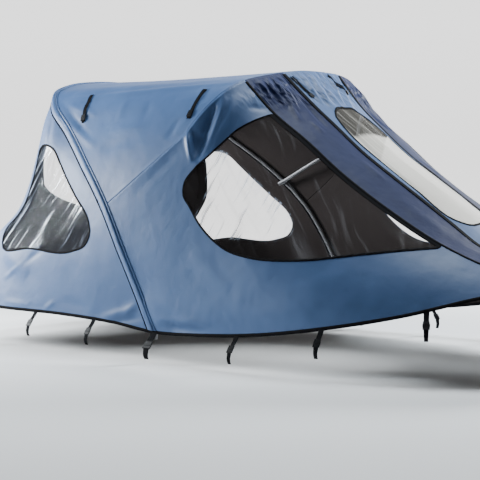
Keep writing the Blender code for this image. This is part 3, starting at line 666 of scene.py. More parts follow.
@dataclass
class Panel:
    """One panel of cloth on a fine grid.

    Attributes:
        name: the frame's node that the panel takes the place of.
        grid: points, across by up by three.
        normals: outward unit normals of the grid.
    """

    name: str
    grid: np.ndarray
    normals: np.ndarray = field(init=False)

    def __post_init__(self) -> None:
        """Work out the normals."""
        self.normals = grid_normals(self.grid)

    def lengths(self) -> tuple[np.ndarray, np.ndarray]:
        """Lengths along the grid's lines, for every point of the grid.

        Returns:
            The lengths across, and those up.
        """
        across = np.linalg.norm(np.diff(self.grid, axis=0), axis=2)
        up = np.linalg.norm(np.diff(self.grid, axis=1), axis=2)
        u = np.pad(np.cumsum(across, axis=0), ((1, 0), (0, 0)))
        v = np.pad(np.cumsum(up, axis=1), ((0, 0), (1, 0)))
        return u, v

    def seam_distance(self) -> np.ndarray:
        """Distance along the grid's lines to the nearest edge of the panel."""
        u, v = self.lengths()
        return np.minimum.reduce([u, u[-1:] - u, v, v[:, -1:] - v])

    def flat_size(self) -> tuple[float, float]:
        """Width and length of the cloth that the panel is cut from."""
        u, v = self.lengths()
        return float(u[-1].max()), float(v[:, -1].mean())

    def point(self, across: float, up: float) -> np.ndarray:
        """The grid's point nearest to a fraction across and up."""
        columns, rows = self.grid.shape[:2]
        return self.grid[round(across * (columns - 1)), round(up * (rows - 1))]

    def relieve(self, folds: Sequence, fade: float) -> None:
        """Push the grid in or out along its normals by soft folds, edges left in place.

        A fold is a bell curve of the distance from its line, times a power of half a sine
        wave along it.

        Args:
            folds: rows of start, end, half width and rise.
            fade: distance from the edges over which a fold grows.
        """
        hold = np.clip(self.seam_distance() / fade, 0.0, 1.0)
        hold = hold * hold * (3 - 2 * hold)
        push = np.zeros(hold.shape)
        for start, end, half_width, rise in folds:
            origin = np.array(start)
            run = np.array(end) - origin
            along = np.clip(((self.grid - origin) @ run) / (run @ run), 0.0, 1.0)
            away = np.linalg.norm(self.grid - origin - along[..., None] * run, axis=2)
            swell = np.sin(math.pi * along) ** FOLD_FULLNESS
            push += rise * np.exp(-((away / half_width) ** 2)) * swell
        self.grid = self.grid + self.normals * (push * hold)[..., None]
        self.normals = grid_normals(self.grid)

    def surface(self) -> Surface:
        """The panel as triangles that face outwards.

        Returns:
            The surface.
        """
        columns, rows = self.grid.shape[:2]
        index = np.arange(columns * rows).reshape(columns, rows)
        lower = np.stack([index[:-1, :-1], index[1:, :-1], index[1:, 1:]], axis=-1)
        upper = np.stack([index[:-1, :-1], index[1:, 1:], index[:-1, 1:]], axis=-1)
        faces = np.vstack([lower.reshape(-1, 3), upper.reshape(-1, 3)])
        u, v = self.lengths()
        data = np.concatenate(
            [self.grid, self.normals, u[..., None], v[..., None], self.seam_distance()[..., None]],
            axis=2,
        ).reshape(-1, 9)
        a, b, c = (data[faces[:, k], :3] for k in range(3))
        if np.sum(np.cross(b - a, c - a) * data[faces[:, 0], 3:6]) < 0:
            faces = faces[:, ::-1]
        return Surface(data, faces)


@dataclass
class CanopyShape:
    """Every panel of the canopy on a fine grid, with its folds and wrinkles.

    Attributes:
        panels: the panels by name.
    """

    panels: dict[str, Panel] = field(default_factory=dict)

    def __post_init__(self) -> None:
        """Work out the panels, then fold them."""
        self._build_grids()
        for panel in self.panels.values():
            self._add_folds(panel)

    def _build_grids(self) -> None:
        """Work out each panel's grid from the curves that it shares with its neighbours."""
        main, hem = whole_arch(MAIN_BOW), whole_arch(HEM)
        crown = len(MAIN_BOW) - 1
        leg = smooth_curve(main, 0, LEG_TOP, STEPS_LEG)
        shoulder = smooth_curve(main, LEG_TOP, CORNER_LOW, STEPS_SHOULDER)
        corner = smooth_curve(main, CORNER_LOW, CORNER_HIGH, STEPS_CORNER)
        rear_crown = smooth_curve(main, CORNER_HIGH, 2 * crown - CORNER_HIGH, STEPS_REAR_CROWN)
        last = len(FRONT_BOW) - 1
        front_top = smooth_curve(FRONT_BOW, LINE_TWO_TOP, last - LINE_TWO_TOP, STEPS_FRONT_CROWN)
        rear_corner = smooth_curve(REAR_CORNER, 0, len(REAR_CORNER) - 1, STEPS_LEG)
        seam = smooth_curve(ROOF_SEAM, 0, len(ROOF_SEAM) - 1, STEPS_SEAM)
        edges = {}
        for side in Side:
            turn, tail = side.turn, side.label
            bow_rows = FRONT_BOW if side is Side.STARBOARD else FRONT_BOW[::-1]
            ridge = smooth_curve(bow_rows, 0, LINE_ONE_TOP, STEPS_RIDGE)
            band_top = smooth_curve(bow_rows, LINE_ONE_TOP, LINE_TWO_TOP, STEPS_BAND)
            line_one_rows, line_two_rows = np.array(LINE_ONE) * turn, np.array(LINE_TWO) * turn
            line_one_rows[-1] = bow_rows[LINE_ONE_TOP]
            line_two_rows[-1] = bow_rows[LINE_TWO_TOP]
            line_one = smooth_curve(line_one_rows, 0, len(LINE_ONE) - 1, STEPS_LEG)
            line_two = smooth_curve(line_two_rows, 0, len(LINE_TWO) - 1, STEPS_LEG)
            steps = STEPS_SEAM + STEPS_RIDGE
            side_hem = smooth_curve(hem, HEM_FOOT, HEM_LINE_ONE, steps) * turn
            band_hem = smooth_curve(hem, HEM_LINE_ONE, HEM_LINE_TWO, STEPS_BAND) * turn
            rear_hem = smooth_curve(hem, 0, HEM_FOOT, STEPS_REAR_HEM) * turn
            arch = joined(shoulder, corner) * turn
            self._add("side_panel_" + tail, side_hem, joined(seam * turn, ridge), leg * turn, line_one)
            self._add("front_band_" + tail, band_hem, band_top, line_one, line_two)
            self._add("rear_side_panel_" + tail, rear_hem, arch[::-1], rear_corner * turn, leg * turn)
            edges[side] = (arch, joined(ridge, band_top), line_two)
        near, far = edges[Side.STARBOARD], edges[Side.PORT]
        rear_edge = joined(near[0], rear_crown, far[0][::-1])
        front_edge = joined(near[1], front_top, far[1][::-1])
        self._add("roof_panel", rear_edge, front_edge, seam, mirrored(seam))
        bow_hem = smooth_curve(hem, HEM_LINE_TWO, len(hem) - 1 - HEM_LINE_TWO, STEPS_FRONT_CROWN)
        self._add("front_panel", bow_hem, front_top, near[2], far[2])
        transom_rows = whole_arch(TRANSOM_HEM)
        transom = smooth_curve(transom_rows, 0, len(transom_rows) - 1, STEPS_REAR_CROWN)
        self._add("rear_curtain", transom, rear_crown, rear_corner, mirrored(rear_corner))

    def _add(self, name: str, *edges: np.ndarray) -> None:
        """Keep the panel between four edges."""
        self.panels[name] = Panel(name, patch(*edges))

    def _add_folds(self, panel: Panel) -> None:
        """Give a panel its large folds and then its small wrinkles.

        Args:
            panel: the panel.
        """
        kind = panel.name.replace("_starboard", "").replace("_port", "")
        turn = (Side.PORT if panel.name.endswith("port") else Side.STARBOARD).turn
        if kind == "front_panel":
            panel.relieve(FRONT_FOLDS, FOLD_FADE)
        elif kind in ("side_panel", "front_band", "rear_side_panel"):
            folds = [(turn * a, turn * b, width, rise) for a, b, width, rise in SIDE_FOLDS]
            panel.relieve(folds, FOLD_FADE)
        gain = FRONT_GAIN if kind.startswith("front") else OTHER_GAIN
        rows = [
            (panel.point(u0, v0), panel.point(u1, v1), width, rise * gain)
            for u0, v0, u1, v1, width, rise in WRINKLES[kind]
        ]
        panel.relieve(rows, WRINKLE_FADE)


class Socket:
    """An output of a shader node, usable in Python expressions."""

    def __init__(self, tree: bpy.types.NodeTree, output: bpy.types.NodeSocket) -> None:
        """Wrap an output of a node tree."""
        self.tree = tree
        self.output = output

    def _calculated(self, operation: str, *values: "Socket | float") -> "Socket":
        """The result of a Math node.

        Args:
            operation: the node's operation.
            values: its values, in order.

        Returns:
            The node's output.
        """
        node = self.tree.nodes.new("ShaderNodeMath")
        node.operation = operation
        for place, value in zip(node.inputs, values):
            connect(value, place)
        return Socket(self.tree, node.outputs[0])

    def __add__(self, other: "Socket | float") -> "Socket":
        """The sum."""
        return self._calculated("ADD", self, other)

    __radd__ = __add__

    def __sub__(self, other: "Socket | float") -> "Socket":
        """The difference."""
        return self._calculated("SUBTRACT", self, other)

    def __rsub__(self, other: float) -> "Socket":
        """The difference from a number."""
        return self._calculated("SUBTRACT", other, self)

    def __mul__(self, other: "Socket | float") -> "Socket":
        """The product."""
        return self._calculated("MULTIPLY", self, other)

    __rmul__ = __mul__

    def __truediv__(self, other: "Socket | float") -> "Socket":
        """The quotient."""
        return self._calculated("DIVIDE", self, other)

    def __abs__(self) -> "Socket":
        """The value without its sign."""
        return self._calculated("ABSOLUTE", self)

    def sine(self) -> "Socket":
        """The sine of the value."""
        return self._calculated("SINE", self)

    def clamped(self) -> "Socket":
        """The value held between 0 and 1."""
        return self._calculated("MAXIMUM", self._calculated("MINIMUM", self, 1.0), 0.0)

    def ramp(self, low: float, high: float) -> "Socket":
        """0 at low, 1 at high, and a soft step between them."""
        share = ((self - low) / (high - low)).clamped()
        return share * share * (3.0 - 2.0 * share)


def connect(value: object, place: bpy.types.NodeSocket) -> None:
    """Link a Socket to an input, or give the input a value.

    Args:
        value: the Socket or the value.
        place: the input.
    """
    if isinstance(value, Socket):
        value.tree.links.new(value.output, place)
    else:
        place.default_value = value


@dataclass(frozen=True)
class Coat:
    """A material, with the name of the record's slot that it is meant for."""

    material: bpy.types.Material
    slot: str


class Look:
    """A material in the making, around one Principled shader."""

    def __init__(self, name: str) -> None:
        """Start a material.

        Args:
            name: its name.
        """
        self.material = bpy.data.materials.new(name)
        self.material.use_nodes = True
        self.tree = self.material.node_tree
        self.shader = self.tree.nodes["Principled BSDF"]

    def node(self, kind: str, settings: dict, sockets: dict) -> bpy.types.Node:
        """Add a node.

        Args:
            kind: the node's type, without its prefix.
            settings: its properties, which are set first.
            sockets: a value or a Socket for each of its inputs, by name or number.

        Returns:
            The node.
        """
        made = self.tree.nodes.new("ShaderNode" + kind)
        for key, value in settings.items():
            setattr(made, key, value)
        for key, value in sockets.items():
            connect(value, made.inputs[key])
        return made

    def socket(self, node: bpy.types.Node, output: str | int = 0) -> Socket:
        """An output of a node, ready for expressions."""
        return Socket(self.tree, node.outputs[output])

    def set(self, sockets: dict) -> None:
        """Give the shader a value or a Socket for each of its inputs named here."""
        for key, value in sockets.items():
            connect(value, self.shader.inputs[key])

    def axes(self, source: str) -> tuple[Socket, ...]:
        """The three parts of a coordinate.

        Args:
            source: Object or UV.

        Returns:
            A Socket for each part.
        """
        place = self.socket(self.node("TexCoord", {}, {}), source)
        parts = self.node("SeparateXYZ", {}, {0: place})
        return tuple(self.socket(parts, k) for k in range(3))

    def vector(self, *parts: Socket | float) -> Socket:
        """Three values as one vector."""
        return self.socket(self.node("CombineXYZ", {}, dict(enumerate(parts))))

    def noise(self, place: Socket, scale: float, detail: float, roughness: float = 0.5) -> Socket:
        """Smooth noise between 0 and 1 at a place.

        Args:
            place: the place.
            scale: how many times the noise's own size goes into a metre.
            detail: octaves of finer noise in it.
            roughness: share of each octave.

        Returns:
            The noise.
        """
        sockets = {"Vector": place, "Scale": scale, "Detail": detail, "Roughness": roughness}
        return self.socket(self.node("TexNoise", {}, sockets))

    def seam(self) -> Socket:
        """Distance to the nearest seam, in metres."""
        return self.socket(self.node("Attribute", {"attribute_name": "seam"}, {}), "Fac")

    def mix(self, share: Socket, first: Sequence[float], second: Sequence[float]) -> Socket:
        """A colour between two colours, by its share of the second."""
        sockets = {0: share, 6: (*first, 1.0), 7: (*second, 1.0)}
        return self.socket(self.node("Mix", {"data_type": "RGBA"}, sockets), 2)

    def bump(self, height: Socket, strength: float, distance: float) -> None:
        """Raise the surface by a height.

        Args:
            height: the height, as a share of the distance.
            strength: how much of it shows.
            distance: the distance, in metres.
        """
        sockets = {"Height": height, "Strength": strength, "Distance": distance}
        self.set({"Normal": self.socket(self.node("Bump", {}, sockets))})


@dataclass(frozen=True)
class ClothFinish:
    """Satin boat cloth: two close shades in patches, over a relief of noise and seams.

    Attributes:
        name: the material's name.
        slot: the record's slot.
        shade: colour in the deeper patches.
        bright: colour in the brighter patches.
        roughness: roughness of the coating.
        crinkle: depth of the relief, in metres.
        gloss: strength of the reflections.
        gather: share of the gathers below the front bow in the relief.
        broad, soft, crease, pucker, grain, stitch: shares of the other kinds of relief.
        stitch_row: distances from a seam where a row of stitches begins and ends.
        pucker_reach: distances from a seam between which the puckers fade.
        gather_height: heights between which the gathers grow.
        gather_fore: places along X between which they grow.
    """

    name: str
    slot: str
    shade: tuple[float, float, float]
    bright: tuple[float, float, float]
    roughness: float
    crinkle: float
    gloss: float
    gather: float
    broad: float = 0.8
    soft: float = 0.2
    crease: float = 0.05
    pucker: float = 0.16
    grain: float = 0.010
    stitch: float = 0.06
    stitch_row: tuple[float, float, float, float] = (0.0050, 0.0058, 0.0066, 0.0074)
    pucker_reach: tuple[float, float] = (0.004, 0.030)
    gather_height: tuple[float, float] = (1.02, 1.18)
    gather_fore: tuple[float, float] = (0.27, 0.34)

    def build(self) -> Coat:
        """Make the material.

        Returns:
            The material with its slot.
        """
        look = Look(self.name)
        x, y, z = look.axes("Object")
        place = look.vector(x, y, z)
        patches = look.noise(place, 2.6, 3.0)
        grain = look.noise(place, 420.0, 1.0)
        tone = (patches.ramp(0.30, 0.70) * 0.75 + grain * 0.25).clamped()
        look.set({
            "Base Color": look.mix(tone, self.shade, self.bright),
            "Roughness": patches * 0.10 + (self.roughness - 0.05),
            "Specular IOR Level": self.gloss,
        })
        seam = look.seam()
        row = self.stitch_row
        stitch = seam.ramp(*row[:2]) * (1.0 - seam.ramp(*row[2:]))
        pucker = look.noise(place, 70.0, 1.0) * (1.0 - seam.ramp(*self.pucker_reach))
        gathered = z.ramp(*self.gather_height) * x.ramp(*self.gather_fore)
        folds = look.noise(look.vector(x * 9.0, y * 24.0, z * 9.0), 1.0, 2.0)
        gather = (1.0 - abs(folds - 0.5) * 5.0).clamped() * gathered
        creased = look.noise(place, 3.1, 1.0).ramp(0.50, 0.66)
        crease = (1.0 - abs(look.noise(place, 9.0, 2.0, 0.45) - 0.5) * 9.0).clamped() * creased
        height = (
            look.noise(place, 5.5, 2.0, 0.45) * self.broad
            + look.noise(place, 17.0, 2.0) * self.soft
            + crease * self.crease
            + gather * self.gather
            + pucker * self.pucker
            + grain * self.grain
            - stitch * self.stitch
        )
        look.bump(height, 0.8, self.crinkle)
        return Coat(look.material, self.slot)


@dataclass(frozen=True)
class PlainFinish:
    """Tape, webbing, plastic, lining or metal.

    Attributes:
        name: the material's name.
        slot: the record's slot.
        colour: base colour.
        roughness: roughness.
        gloss: strength of the reflections.
        metallic: 1 for metal.
        ribs: ribs per metre of the UV's first axis, 0 for none.
    """

    name: str
    slot: str
    colour: tuple[float, float, float]
    roughness: float
    gloss: float
    metallic: float = 0.0
    ribs: float = 0.0

    def build(self) -> Coat:
        """Make the material.

        Returns:
            The material with its slot.
        """
        look = Look(self.name)
        worn = look.noise(look.vector(*look.axes("Object")), 60.0, 2.0)
        brighter = tuple(part * 1.35 + 0.002 for part in self.colour)
        look.set({
            "Base Color": look.mix(worn, self.colour, brighter),
            "Specular IOR Level": self.gloss,
            "Roughness": worn * 0.12 + (self.roughness - 0.06),
            "Metallic": self.metallic,
        })
        if self.ribs:
            u = look.axes("UV")[0]
            look.bump((u * (self.ribs * 2 * math.pi)).sine(), 0.5, 0.0003)
        return Coat(look.material, self.slot)


@dataclass(frozen=True)
class FilmFinish:
    """Clear window film with creases: painted highlights along them, over a relief that follows them.

    Attributes:
        name: the material's name.
        axis: the axis that the window is seen along: 0 for X, 1 for Y, 2 for Z.
        angle: direction of the creases in the window's plane, in degrees.
        creased: strength of the painted highlights along the creases, 0 to 1.
        veil: how cloudy the film is between its creases.
        colour: colour of the cloudiness and of the painted highlights on the creases.
        cloudy_from: the film grows cloudy between these two values of its first axis.
        slot: the record's slot.
    """

    name: str
    axis: int
    angle: float
    creased: float
    veil: float
    colour: tuple[float, float, float]
    cloudy_from: tuple[float, float] | None = None
    slot: str = "window_film"

    def build(self) -> Coat:
        """Make the material: painted highlights from noise stretched along the creases, laid over a
        faint cloud.

        Returns:
            The material with its slot.
        """
        look = Look(self.name)
        parts = [part for k, part in enumerate(look.axes("Object")) if k != self.axis]
        cosine, sine = math.cos(math.radians(self.angle)), math.sin(math.radians(self.angle))
        along = parts[0] * cosine + parts[1] * sine
        across = parts[0] * -sine + parts[1] * cosine
        bent = across + look.noise(look.vector(along, across, 0.0), 3.0, 1.0) * 0.05
        fine = look.noise(look.vector(bent * 46.0, along * 2.6, 0.0), 1.0, 2.0, 0.6)
        broad = look.noise(look.vector(bent * 9.0, along * 1.6, 4.0), 1.0, 1.0)
        # Pale lines where the film is made opaque along its creases: painted highlights. The same noise
        # also bumps the film.
        lines = (fine.ramp(0.54, 0.68) * 0.7 + broad.ramp(0.58, 0.76) * 0.4).clamped()
        cloud = look.noise(look.vector(along, across, 2.0), 2.2, 2.0)
        veil = cloud * (self.veil * 0.6) + self.veil * 0.7
        if self.cloudy_from is not None:
            veil = veil * (0.12 + 0.88 * (parts[0] + cloud * 0.02).ramp(*self.cloudy_from))
        look.set({
            "Alpha": (lines * (0.75 * self.creased) + veil).clamped(),
            "Base Color": (*self.colour, 1.0),
            "Roughness": 0.07,
            "Specular IOR Level": 0.3,
        })
        look.bump(fine * 0.5 + broad, 0.6, 0.004)
        return Coat(look.material, self.slot)


class Finishes:
    """Every opaque material of the canopy, made once."""

    def __init__(self) -> None:
        """Make the materials."""
        black = (0.004, 0.004, 0.005)
        self.cloth = ClothFinish("canopy cloth", "canopy_cloth", (0.046, 0.090, 0.198),
                                 (0.059, 0.112, 0.238), 0.50, 0.009, 0.20, 0.7).build()
        # The bands' cloth is the canopy cloth darkened to about a fifth: painted shade, as on the
        # shaded starboard band, and used on both bands.
        self.band = ClothFinish("band cloth with painted shade", "band_cloth", (0.010, 0.015, 0.050),
                                (0.014, 0.022, 0.068), 0.52, 0.014, 0.07, 1.0).build()
        self.lining = PlainFinish("lining", "canopy_cloth", (0.020, 0.0165, 0.0160), 0.9, 0.02).build()
        self.tape = PlainFinish("binding tape", "binding_tape", black, 0.8, 0.03).build()
        self.webbing = PlainFinish("webbing", "webbing", black, 0.8, 0.03, ribs=400.0).build()
        self.plastic = PlainFinish("buckle plastic", "webbing", black, 0.45, 0.1).build()
        self.tube = PlainFinish("bow tube", "bow_tube", (0.17, 0.17, 0.18), 0.42, 0.3, 1.0).build()


@dataclass(frozen=True)
class Window:
    """A window: its outline in a plane, and the panels that it is cut in.

    Attributes:
        name: the stem of its panes' and tapes' names.
        outline: corner points in the two axes that the window isn't seen along.
        panels: names of the panels with this window.
        film: the finish of its film, which knows the axis that it is seen along.
    """

    name: str
    outline: np.ndarray
    panels: tuple[str, ...]
    film: FilmFinish

    def distance(self, place: np.ndarray) -> np.ndarray:
        """Distance from the outline to points seen along the axis.

        It is the distance to the nearest of the outline's straight parts, and a point is
        inside where a line from it along the first axis meets the outline an odd number of
        times.

        Args:
            place: the points.

        Returns:
            A distance for each point, above zero outside.
        """
        points = np.delete(place, self.film.axis, axis=1)
        start = self.outline
        run = np.roll(start, -1, axis=0) - start
        offset = points[:, None] - start[None]
        along = np.clip(np.sum(offset * run, axis=2) / np.sum(run * run, axis=1), 0.0, 1.0)
        away = np.linalg.norm(offset - along[..., None] * run, axis=2).min(axis=1)
        upper, lower = start[:, 1], start[:, 1] + run[:, 1]
        crosses = (upper[None] > points[:, 1:]) != (lower[None] > points[:, 1:])
        slope = run[:, 0] / np.where(run[:, 1] == 0, 1e-9, run[:, 1])
        meets = start[:, 0] + (points[:, 1:] - start[:, 1]) * slope
        inside = (crosses & (points[:, :1] < meets)).sum(axis=1) % 2 == 1
        return np.where(inside, -away, away)


def rounded(outline: np.ndarray, steps: int = 4) -> np.ndarray:
    """A closed outline as a smooth curve through the same corner points.

    Args:
        outline: the corner points.
        steps: points of the curve for each corner point.

    Returns:
        The points of the curve, once round.
    """
    count = len(outline)
    around = np.vstack([outline, outline, outline])
    return smooth_curve(around, count, 2 * count, count * steps)[:-1]


def side_window_outline() -> np.ndarray:
    """The side window in x and z: its free edge, then an edge that runs beside line one.

    Returns:
        The points of the outline.
    """
    line = smooth_curve(LINE_ONE, WINDOW_LINE_FIRST, WINDOW_LINE_LAST, 40)[:, [0, 2]]
    way = tangents(line)
    beside = line - WINDOW_MARGIN * np.stack([way[:, 1], -way[:, 0]], axis=1)
    free = smooth_curve(SIDE_WINDOW, 0, len(SIDE_WINDOW) - 1, 70)
    return np.vstack([free, beside])


def every_window() -> tuple[Window, ...]:
    """The canopy's windows, with the way that each one's film is clouded and creased, and how strong
    the painted highlights on its creases are.

    Returns:
        The windows.
    """
    front = np.array(FRONT_WINDOW)
    front = np.vstack([front, front[-2:0:-1] * (1.0, -1.0)])
    rear = np.array(REAR_WINDOW)
    rear = np.vstack([rear[:1] * (-1.0, 1.0), rear, rear[:0:-1] * (-1.0, 1.0)])
    rows = (
        ("side_window", side_window_outline(), "side_panel", True,
         (1, 128.0, 0.20, 0.008, (0.50, 0.50, 0.53))),
        ("rear_side_window", rounded(np.array(REAR_SIDE_WINDOW)), "rear_side_panel", True,
         (1, 51.5, 1.0, 0.03, (0.42, 0.48, 0.60))),
        ("front_window", rounded(front), "front_panel", False,
         (2, 8.0, 0.5, 0.80, (0.60, 0.57, 0.51), (0.655, 0.685))),
        ("rear_window", rounded(rear), "rear_curtain", False,
         (0, 80.0, 0.4, 0.05, (0.80, 0.82, 0.84))),
    )
    windows = []
    for name, outline, panel, paired, film in rows:
        panels = tuple(panel + "_" + side.label for side in Side) if paired else (panel,)
        windows.append(Window(name, outline, panels, FilmFinish(name + " film", *film)))
    return tuple(windows)


def placed(
    name: str,
    points: np.ndarray,
    faces: np.ndarray,
    coats: Sequence[Coat],
    uv: np.ndarray,
    seam: np.ndarray | None = None,
    kinds: Sequence[int] | None = None,
) -> bpy.types.Object:
    """An object of the canopy made from points and faces, riding on its body.

    Args:
        name: the object's name.
        points: places of the points.
        faces: point numbers of each face.
        coats: the materials in order.
        uv: metric coordinates of each point.
        seam: distance of each point to the nearest seam.
        kinds: number of each face's material.

    Returns:
        The new object.
    """
    mesh = bpy.data.meshes.new(name)
    mesh.from_pydata(points.tolist(), [], faces.tolist())
    for coat in coats:
        mesh.materials.append(coat.material)
    corner = np.zeros(len(mesh.loops), int)
    mesh.loops.foreach_get("vertex_index", corner)
    layer = mesh.uv_layers.new(name="metres")
    layer.data.foreach_set("uv", uv[corner].ravel())
    if seam is not None:
        mesh.attributes.new("seam", "FLOAT", "POINT").data.foreach_set("value", seam)
    if kinds is not None:
        mesh.polygons.foreach_set("material_index", np.asarray(kinds, int))
    mesh.shade_smooth()
    mesh.update()
    LOG.info("%s: %d points, %d faces", name, len(mesh.vertices), len(mesh.polygons))
    made = bpy.data.objects.new(name, mesh)
    bpy.context.scene.collection.objects.link(made)
    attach(made, BODY)
    return made


def thickened(made: bpy.types.Object, thickness: float, offset: float, lining: int = 0) -> None:
    """Give a sheet its thickness.

    Args:
        made: the sheet.
        thickness: the thickness.
        offset: -1 to grow inwards, 1 to grow outwards.
        lining: how many materials further the other face takes its own from.
    """
    step = made.modifiers.new("thickness", "SOLIDIFY")
    step.thickness = thickness
    step.offset = offset
    step.material_offset = lining


def wing(edge: np.ndarray, inner: np.ndarray) -> np.ndarray:
    """Directions from an edge into its panel, one unit square to the edge.

    Each is the way to the inner point where that is steep enough, or else its part square
    to the edge, divided by the length of that part.

    Args:
        edge: points of the edge.
        inner: a point further in for each of them.

    Returns:
        A direction for each point.
    """
    along = tangents(edge)
    way = unit(inner - edge)
    upright = way - along * np.sum(way * along, axis=1, keepdims=True)
    square = np.linalg.norm(upright, axis=1, keepdims=True)
    return np.where(square > SLANT, way, upright) / square


@dataclass(frozen=True)
class Edge:
    """An edge of a panel.

    Attributes:
        line: its points.
        inner: points further in, one step of the fixed frame away.
        normals: outward normals along it.
        panel: the panel's name.
    """

    line: np.ndarray
    inner: np.ndarray
    normals: np.ndarray
    panel: str

    def part(self, first: int, last: int) -> "Edge":
        """A stretch of the edge, by step numbers."""
        cut = slice(first, last + 1)
        return Edge(self.line[cut], self.inner[cut], self.normals[cut], self.panel)

    def turned(self) -> "Edge":
        """The same edge, run the other way."""
        return Edge(self.line[::-1], self.inner[::-1], self.normals[::-1], self.panel)

    @staticmethod
    def of(panel: Panel, which: Border) -> "Edge":
        """An edge of a panel, its inner points kept off the flat corner of a rear side panel.

        Args:
            panel: the panel.
            which: the edge of its grid.

        Returns:
            The edge.
        """
        grid, normals = panel.grid, panel.normals
        columns = np.arange(grid.shape[0])
        rows = np.arange(grid.shape[1])
        if panel.name.startswith("rear_side_panel"):
            columns = np.minimum(columns, columns[-1] - FINE)
            rows = np.minimum(rows, rows[-1] - STEP_UP)
        if which is Border.LEFT:
            return Edge(grid[0], grid[FINE], normals[0], panel.name)
        if which is Border.RIGHT:
            return Edge(grid[-1], grid[-1 - FINE, rows], normals[-1], panel.name)
        if which is Border.BOTTOM:
            return Edge(grid[:, 0], grid[:, STEP_UP], normals[:, 0], panel.name)
        return Edge(grid[:, -1], grid[columns, -1 - STEP_UP], normals[:, -1], panel.name)


@dataclass(frozen=True)
class Seam:
    """A line where two rows of panels meet, or the free edge of one row.

    Attributes:
        line: points of the seam.
        normals: outward normals shared by both sides.
        ways: for each side, directions into its panels.
        panels: for each side, the names of its panels.
    """

    line: np.ndarray
    normals: np.ndarray
    ways: list[np.ndarray]
    panels: list[tuple[str, ...]]

    @staticmethod
    def along(*rows: Sequence[Edge]) -> "Seam":
        """The seam between rows of edges that follow the same line.

        Args:
            rows: for each side of the seam, its edges in order.

        Returns:
            The seam, with the mean direction of both sides' normals.
        """
        line = joined(*[edge.line for edge in rows[0]])
        ways, normals, panels = [], 0.0, []
        for row in rows:
            ways.append(wing(line, joined(*[edge.inner for edge in row])))
            normals = normals + joined(*[edge.normals for edge in row])
            panels.append(tuple(edge.panel for edge in row))
        return Seam(line, unit(normals), ways, panels)

    def trimmed(self, first: int, last: int) -> "Seam":
        """The seam without a few steps at its start and its end."""
        cut = slice(first, len(self.line) - last)
        return Seam(self.line[cut], self.normals[cut], [way[cut] for way in self.ways], self.panels)


@dataclass(frozen=True)
class Stitcher:
    """Lays tapes, sleeves and straps on the cloth.

    Attributes:
        shape: the panels.
        finishes: the materials.
        batch: how many points are dropped on the cloth at once.
        search: how far around a batch the cloth is looked at.
    """

    shape: CanopyShape
    finishes: Finishes
    batch: int = 256
    search: float = 0.06

    def seated(self, points: np.ndarray, names: Sequence[str]) -> tuple[np.ndarray, np.ndarray]:
        """Points dropped on the plane of the nearest point of some panels' cloth.

        Args:
            points: the points.
            names: the panels.

        Returns:
            The dropped points, and the cloth's normals there.
        """
        cloth = np.vstack([self.shape.panels[name].grid.reshape(-1, 3) for name in names])
        normals = np.vstack([self.shape.panels[name].normals.reshape(-1, 3) for name in names])
        flat = points.reshape(-1, 3)
        nearest = np.empty(len(flat), int)
        for start in range(0, len(flat), self.batch):
            part = flat[start : start + self.batch]
            low, high = part.min(axis=0) - self.search, part.max(axis=0) + self.search
            close = np.flatnonzero(np.all((cloth > low) & (cloth < high), axis=1))
            gap = ((part[:, None] - cloth[close][None]) ** 2).sum(axis=2)
            nearest[start : start + self.batch] = close[np.argmin(gap, axis=1)]
        normal = normals[nearest]
        above = np.sum((flat - cloth[nearest]) * normal, axis=1, keepdims=True)
        return (flat - above * normal).reshape(points.shape), normal.reshape(points.shape)

    def over_seam(self, seam: Seam, half: float, lift: Callable, steps: int) -> np.ndarray:
        """Points of a tape over a seam, from one side's edge across to the other's.

        Args:
            seam: the seam.
            half: how far the tape reaches on each side.
            lift: height over the cloth for shares of that reach, below zero on the first side.
            steps: columns on each side of the seam.

        Returns:
            A grid, along the seam by across it.
        """
        share = np.linspace(0.0, 1.0, steps + 1)[1:]
        blend = np.clip(share / 0.5, 0.0, 1.0)[None, :, None]
        sides = []
        for way, names, sign in zip(seam.ways, seam.panels, (-1.0, 1.0)):
            reach = seam.line[:, None] + way[:, None] * (share * half)[None, :, None]
            place, normal = self.seated(reach, names)
            normal = unit(seam.normals[:, None] * (1 - blend) + normal * blend)
            sides.append(place + normal * lift(share * sign)[None, :, None])
        middle = seam.line + seam.normals * lift(np.zeros(1))[0]
        return np.concatenate([sides[0][:, ::-1], middle[:, None], sides[1]], axis=1)

    def ribbon(
        self, name: str, grid: np.ndarray, coat: Coat, thickness: float, wrapped: bool = False
    ) -> bpy.types.Object:
        """A strip of tape or a tube from a grid of points, facing outwards.

        Args:
            name: the object's name.
            grid: points, along the strip by across it.
            coat: its material.
            thickness: what it grows outwards, or 0.
            wrapped: whether the last column meets the first.

        Returns:
            The object.
        """
        count, sides = grid.shape[:2]
        index = np.arange(count * sides).reshape(count, sides)
        if wrapped:
            index = np.concatenate([index, index[:, :1]], axis=1)
        faces = np.stack([index[:-1, :-1], index[1:, :-1], index[1:, 1:], index[:-1, 1:]], axis=-1)
        faces = faces.reshape(-1, 4)
        flat = grid.reshape(-1, 3)
        square = np.cross(flat[faces[:, 1]] - flat[faces[:, 0]], flat[faces[:, 3]] - flat[faces[:, 0]])
        centre = grid.mean(axis=1, keepdims=True) if wrapped else np.array(LOW_MIDDLE)
        outward = (grid - centre).reshape(-1, 3)[faces[:, 0]]
        if np.sum(square * outward) < 0:
            faces = faces[:, ::-1]
        u = run_length(grid[:, sides // 2])[:, None] * np.ones((1, sides))
        across = np.linalg.norm(np.diff(grid, axis=1), axis=2)
        v = np.pad(np.cumsum(across, axis=1), ((0, 0), (1, 0)))
        made = placed(name, flat, faces, [coat], np.stack([u.ravel(), v.ravel()], axis=1))
        if thickness:
            thickened(made, thickness, 1.0)
        return made


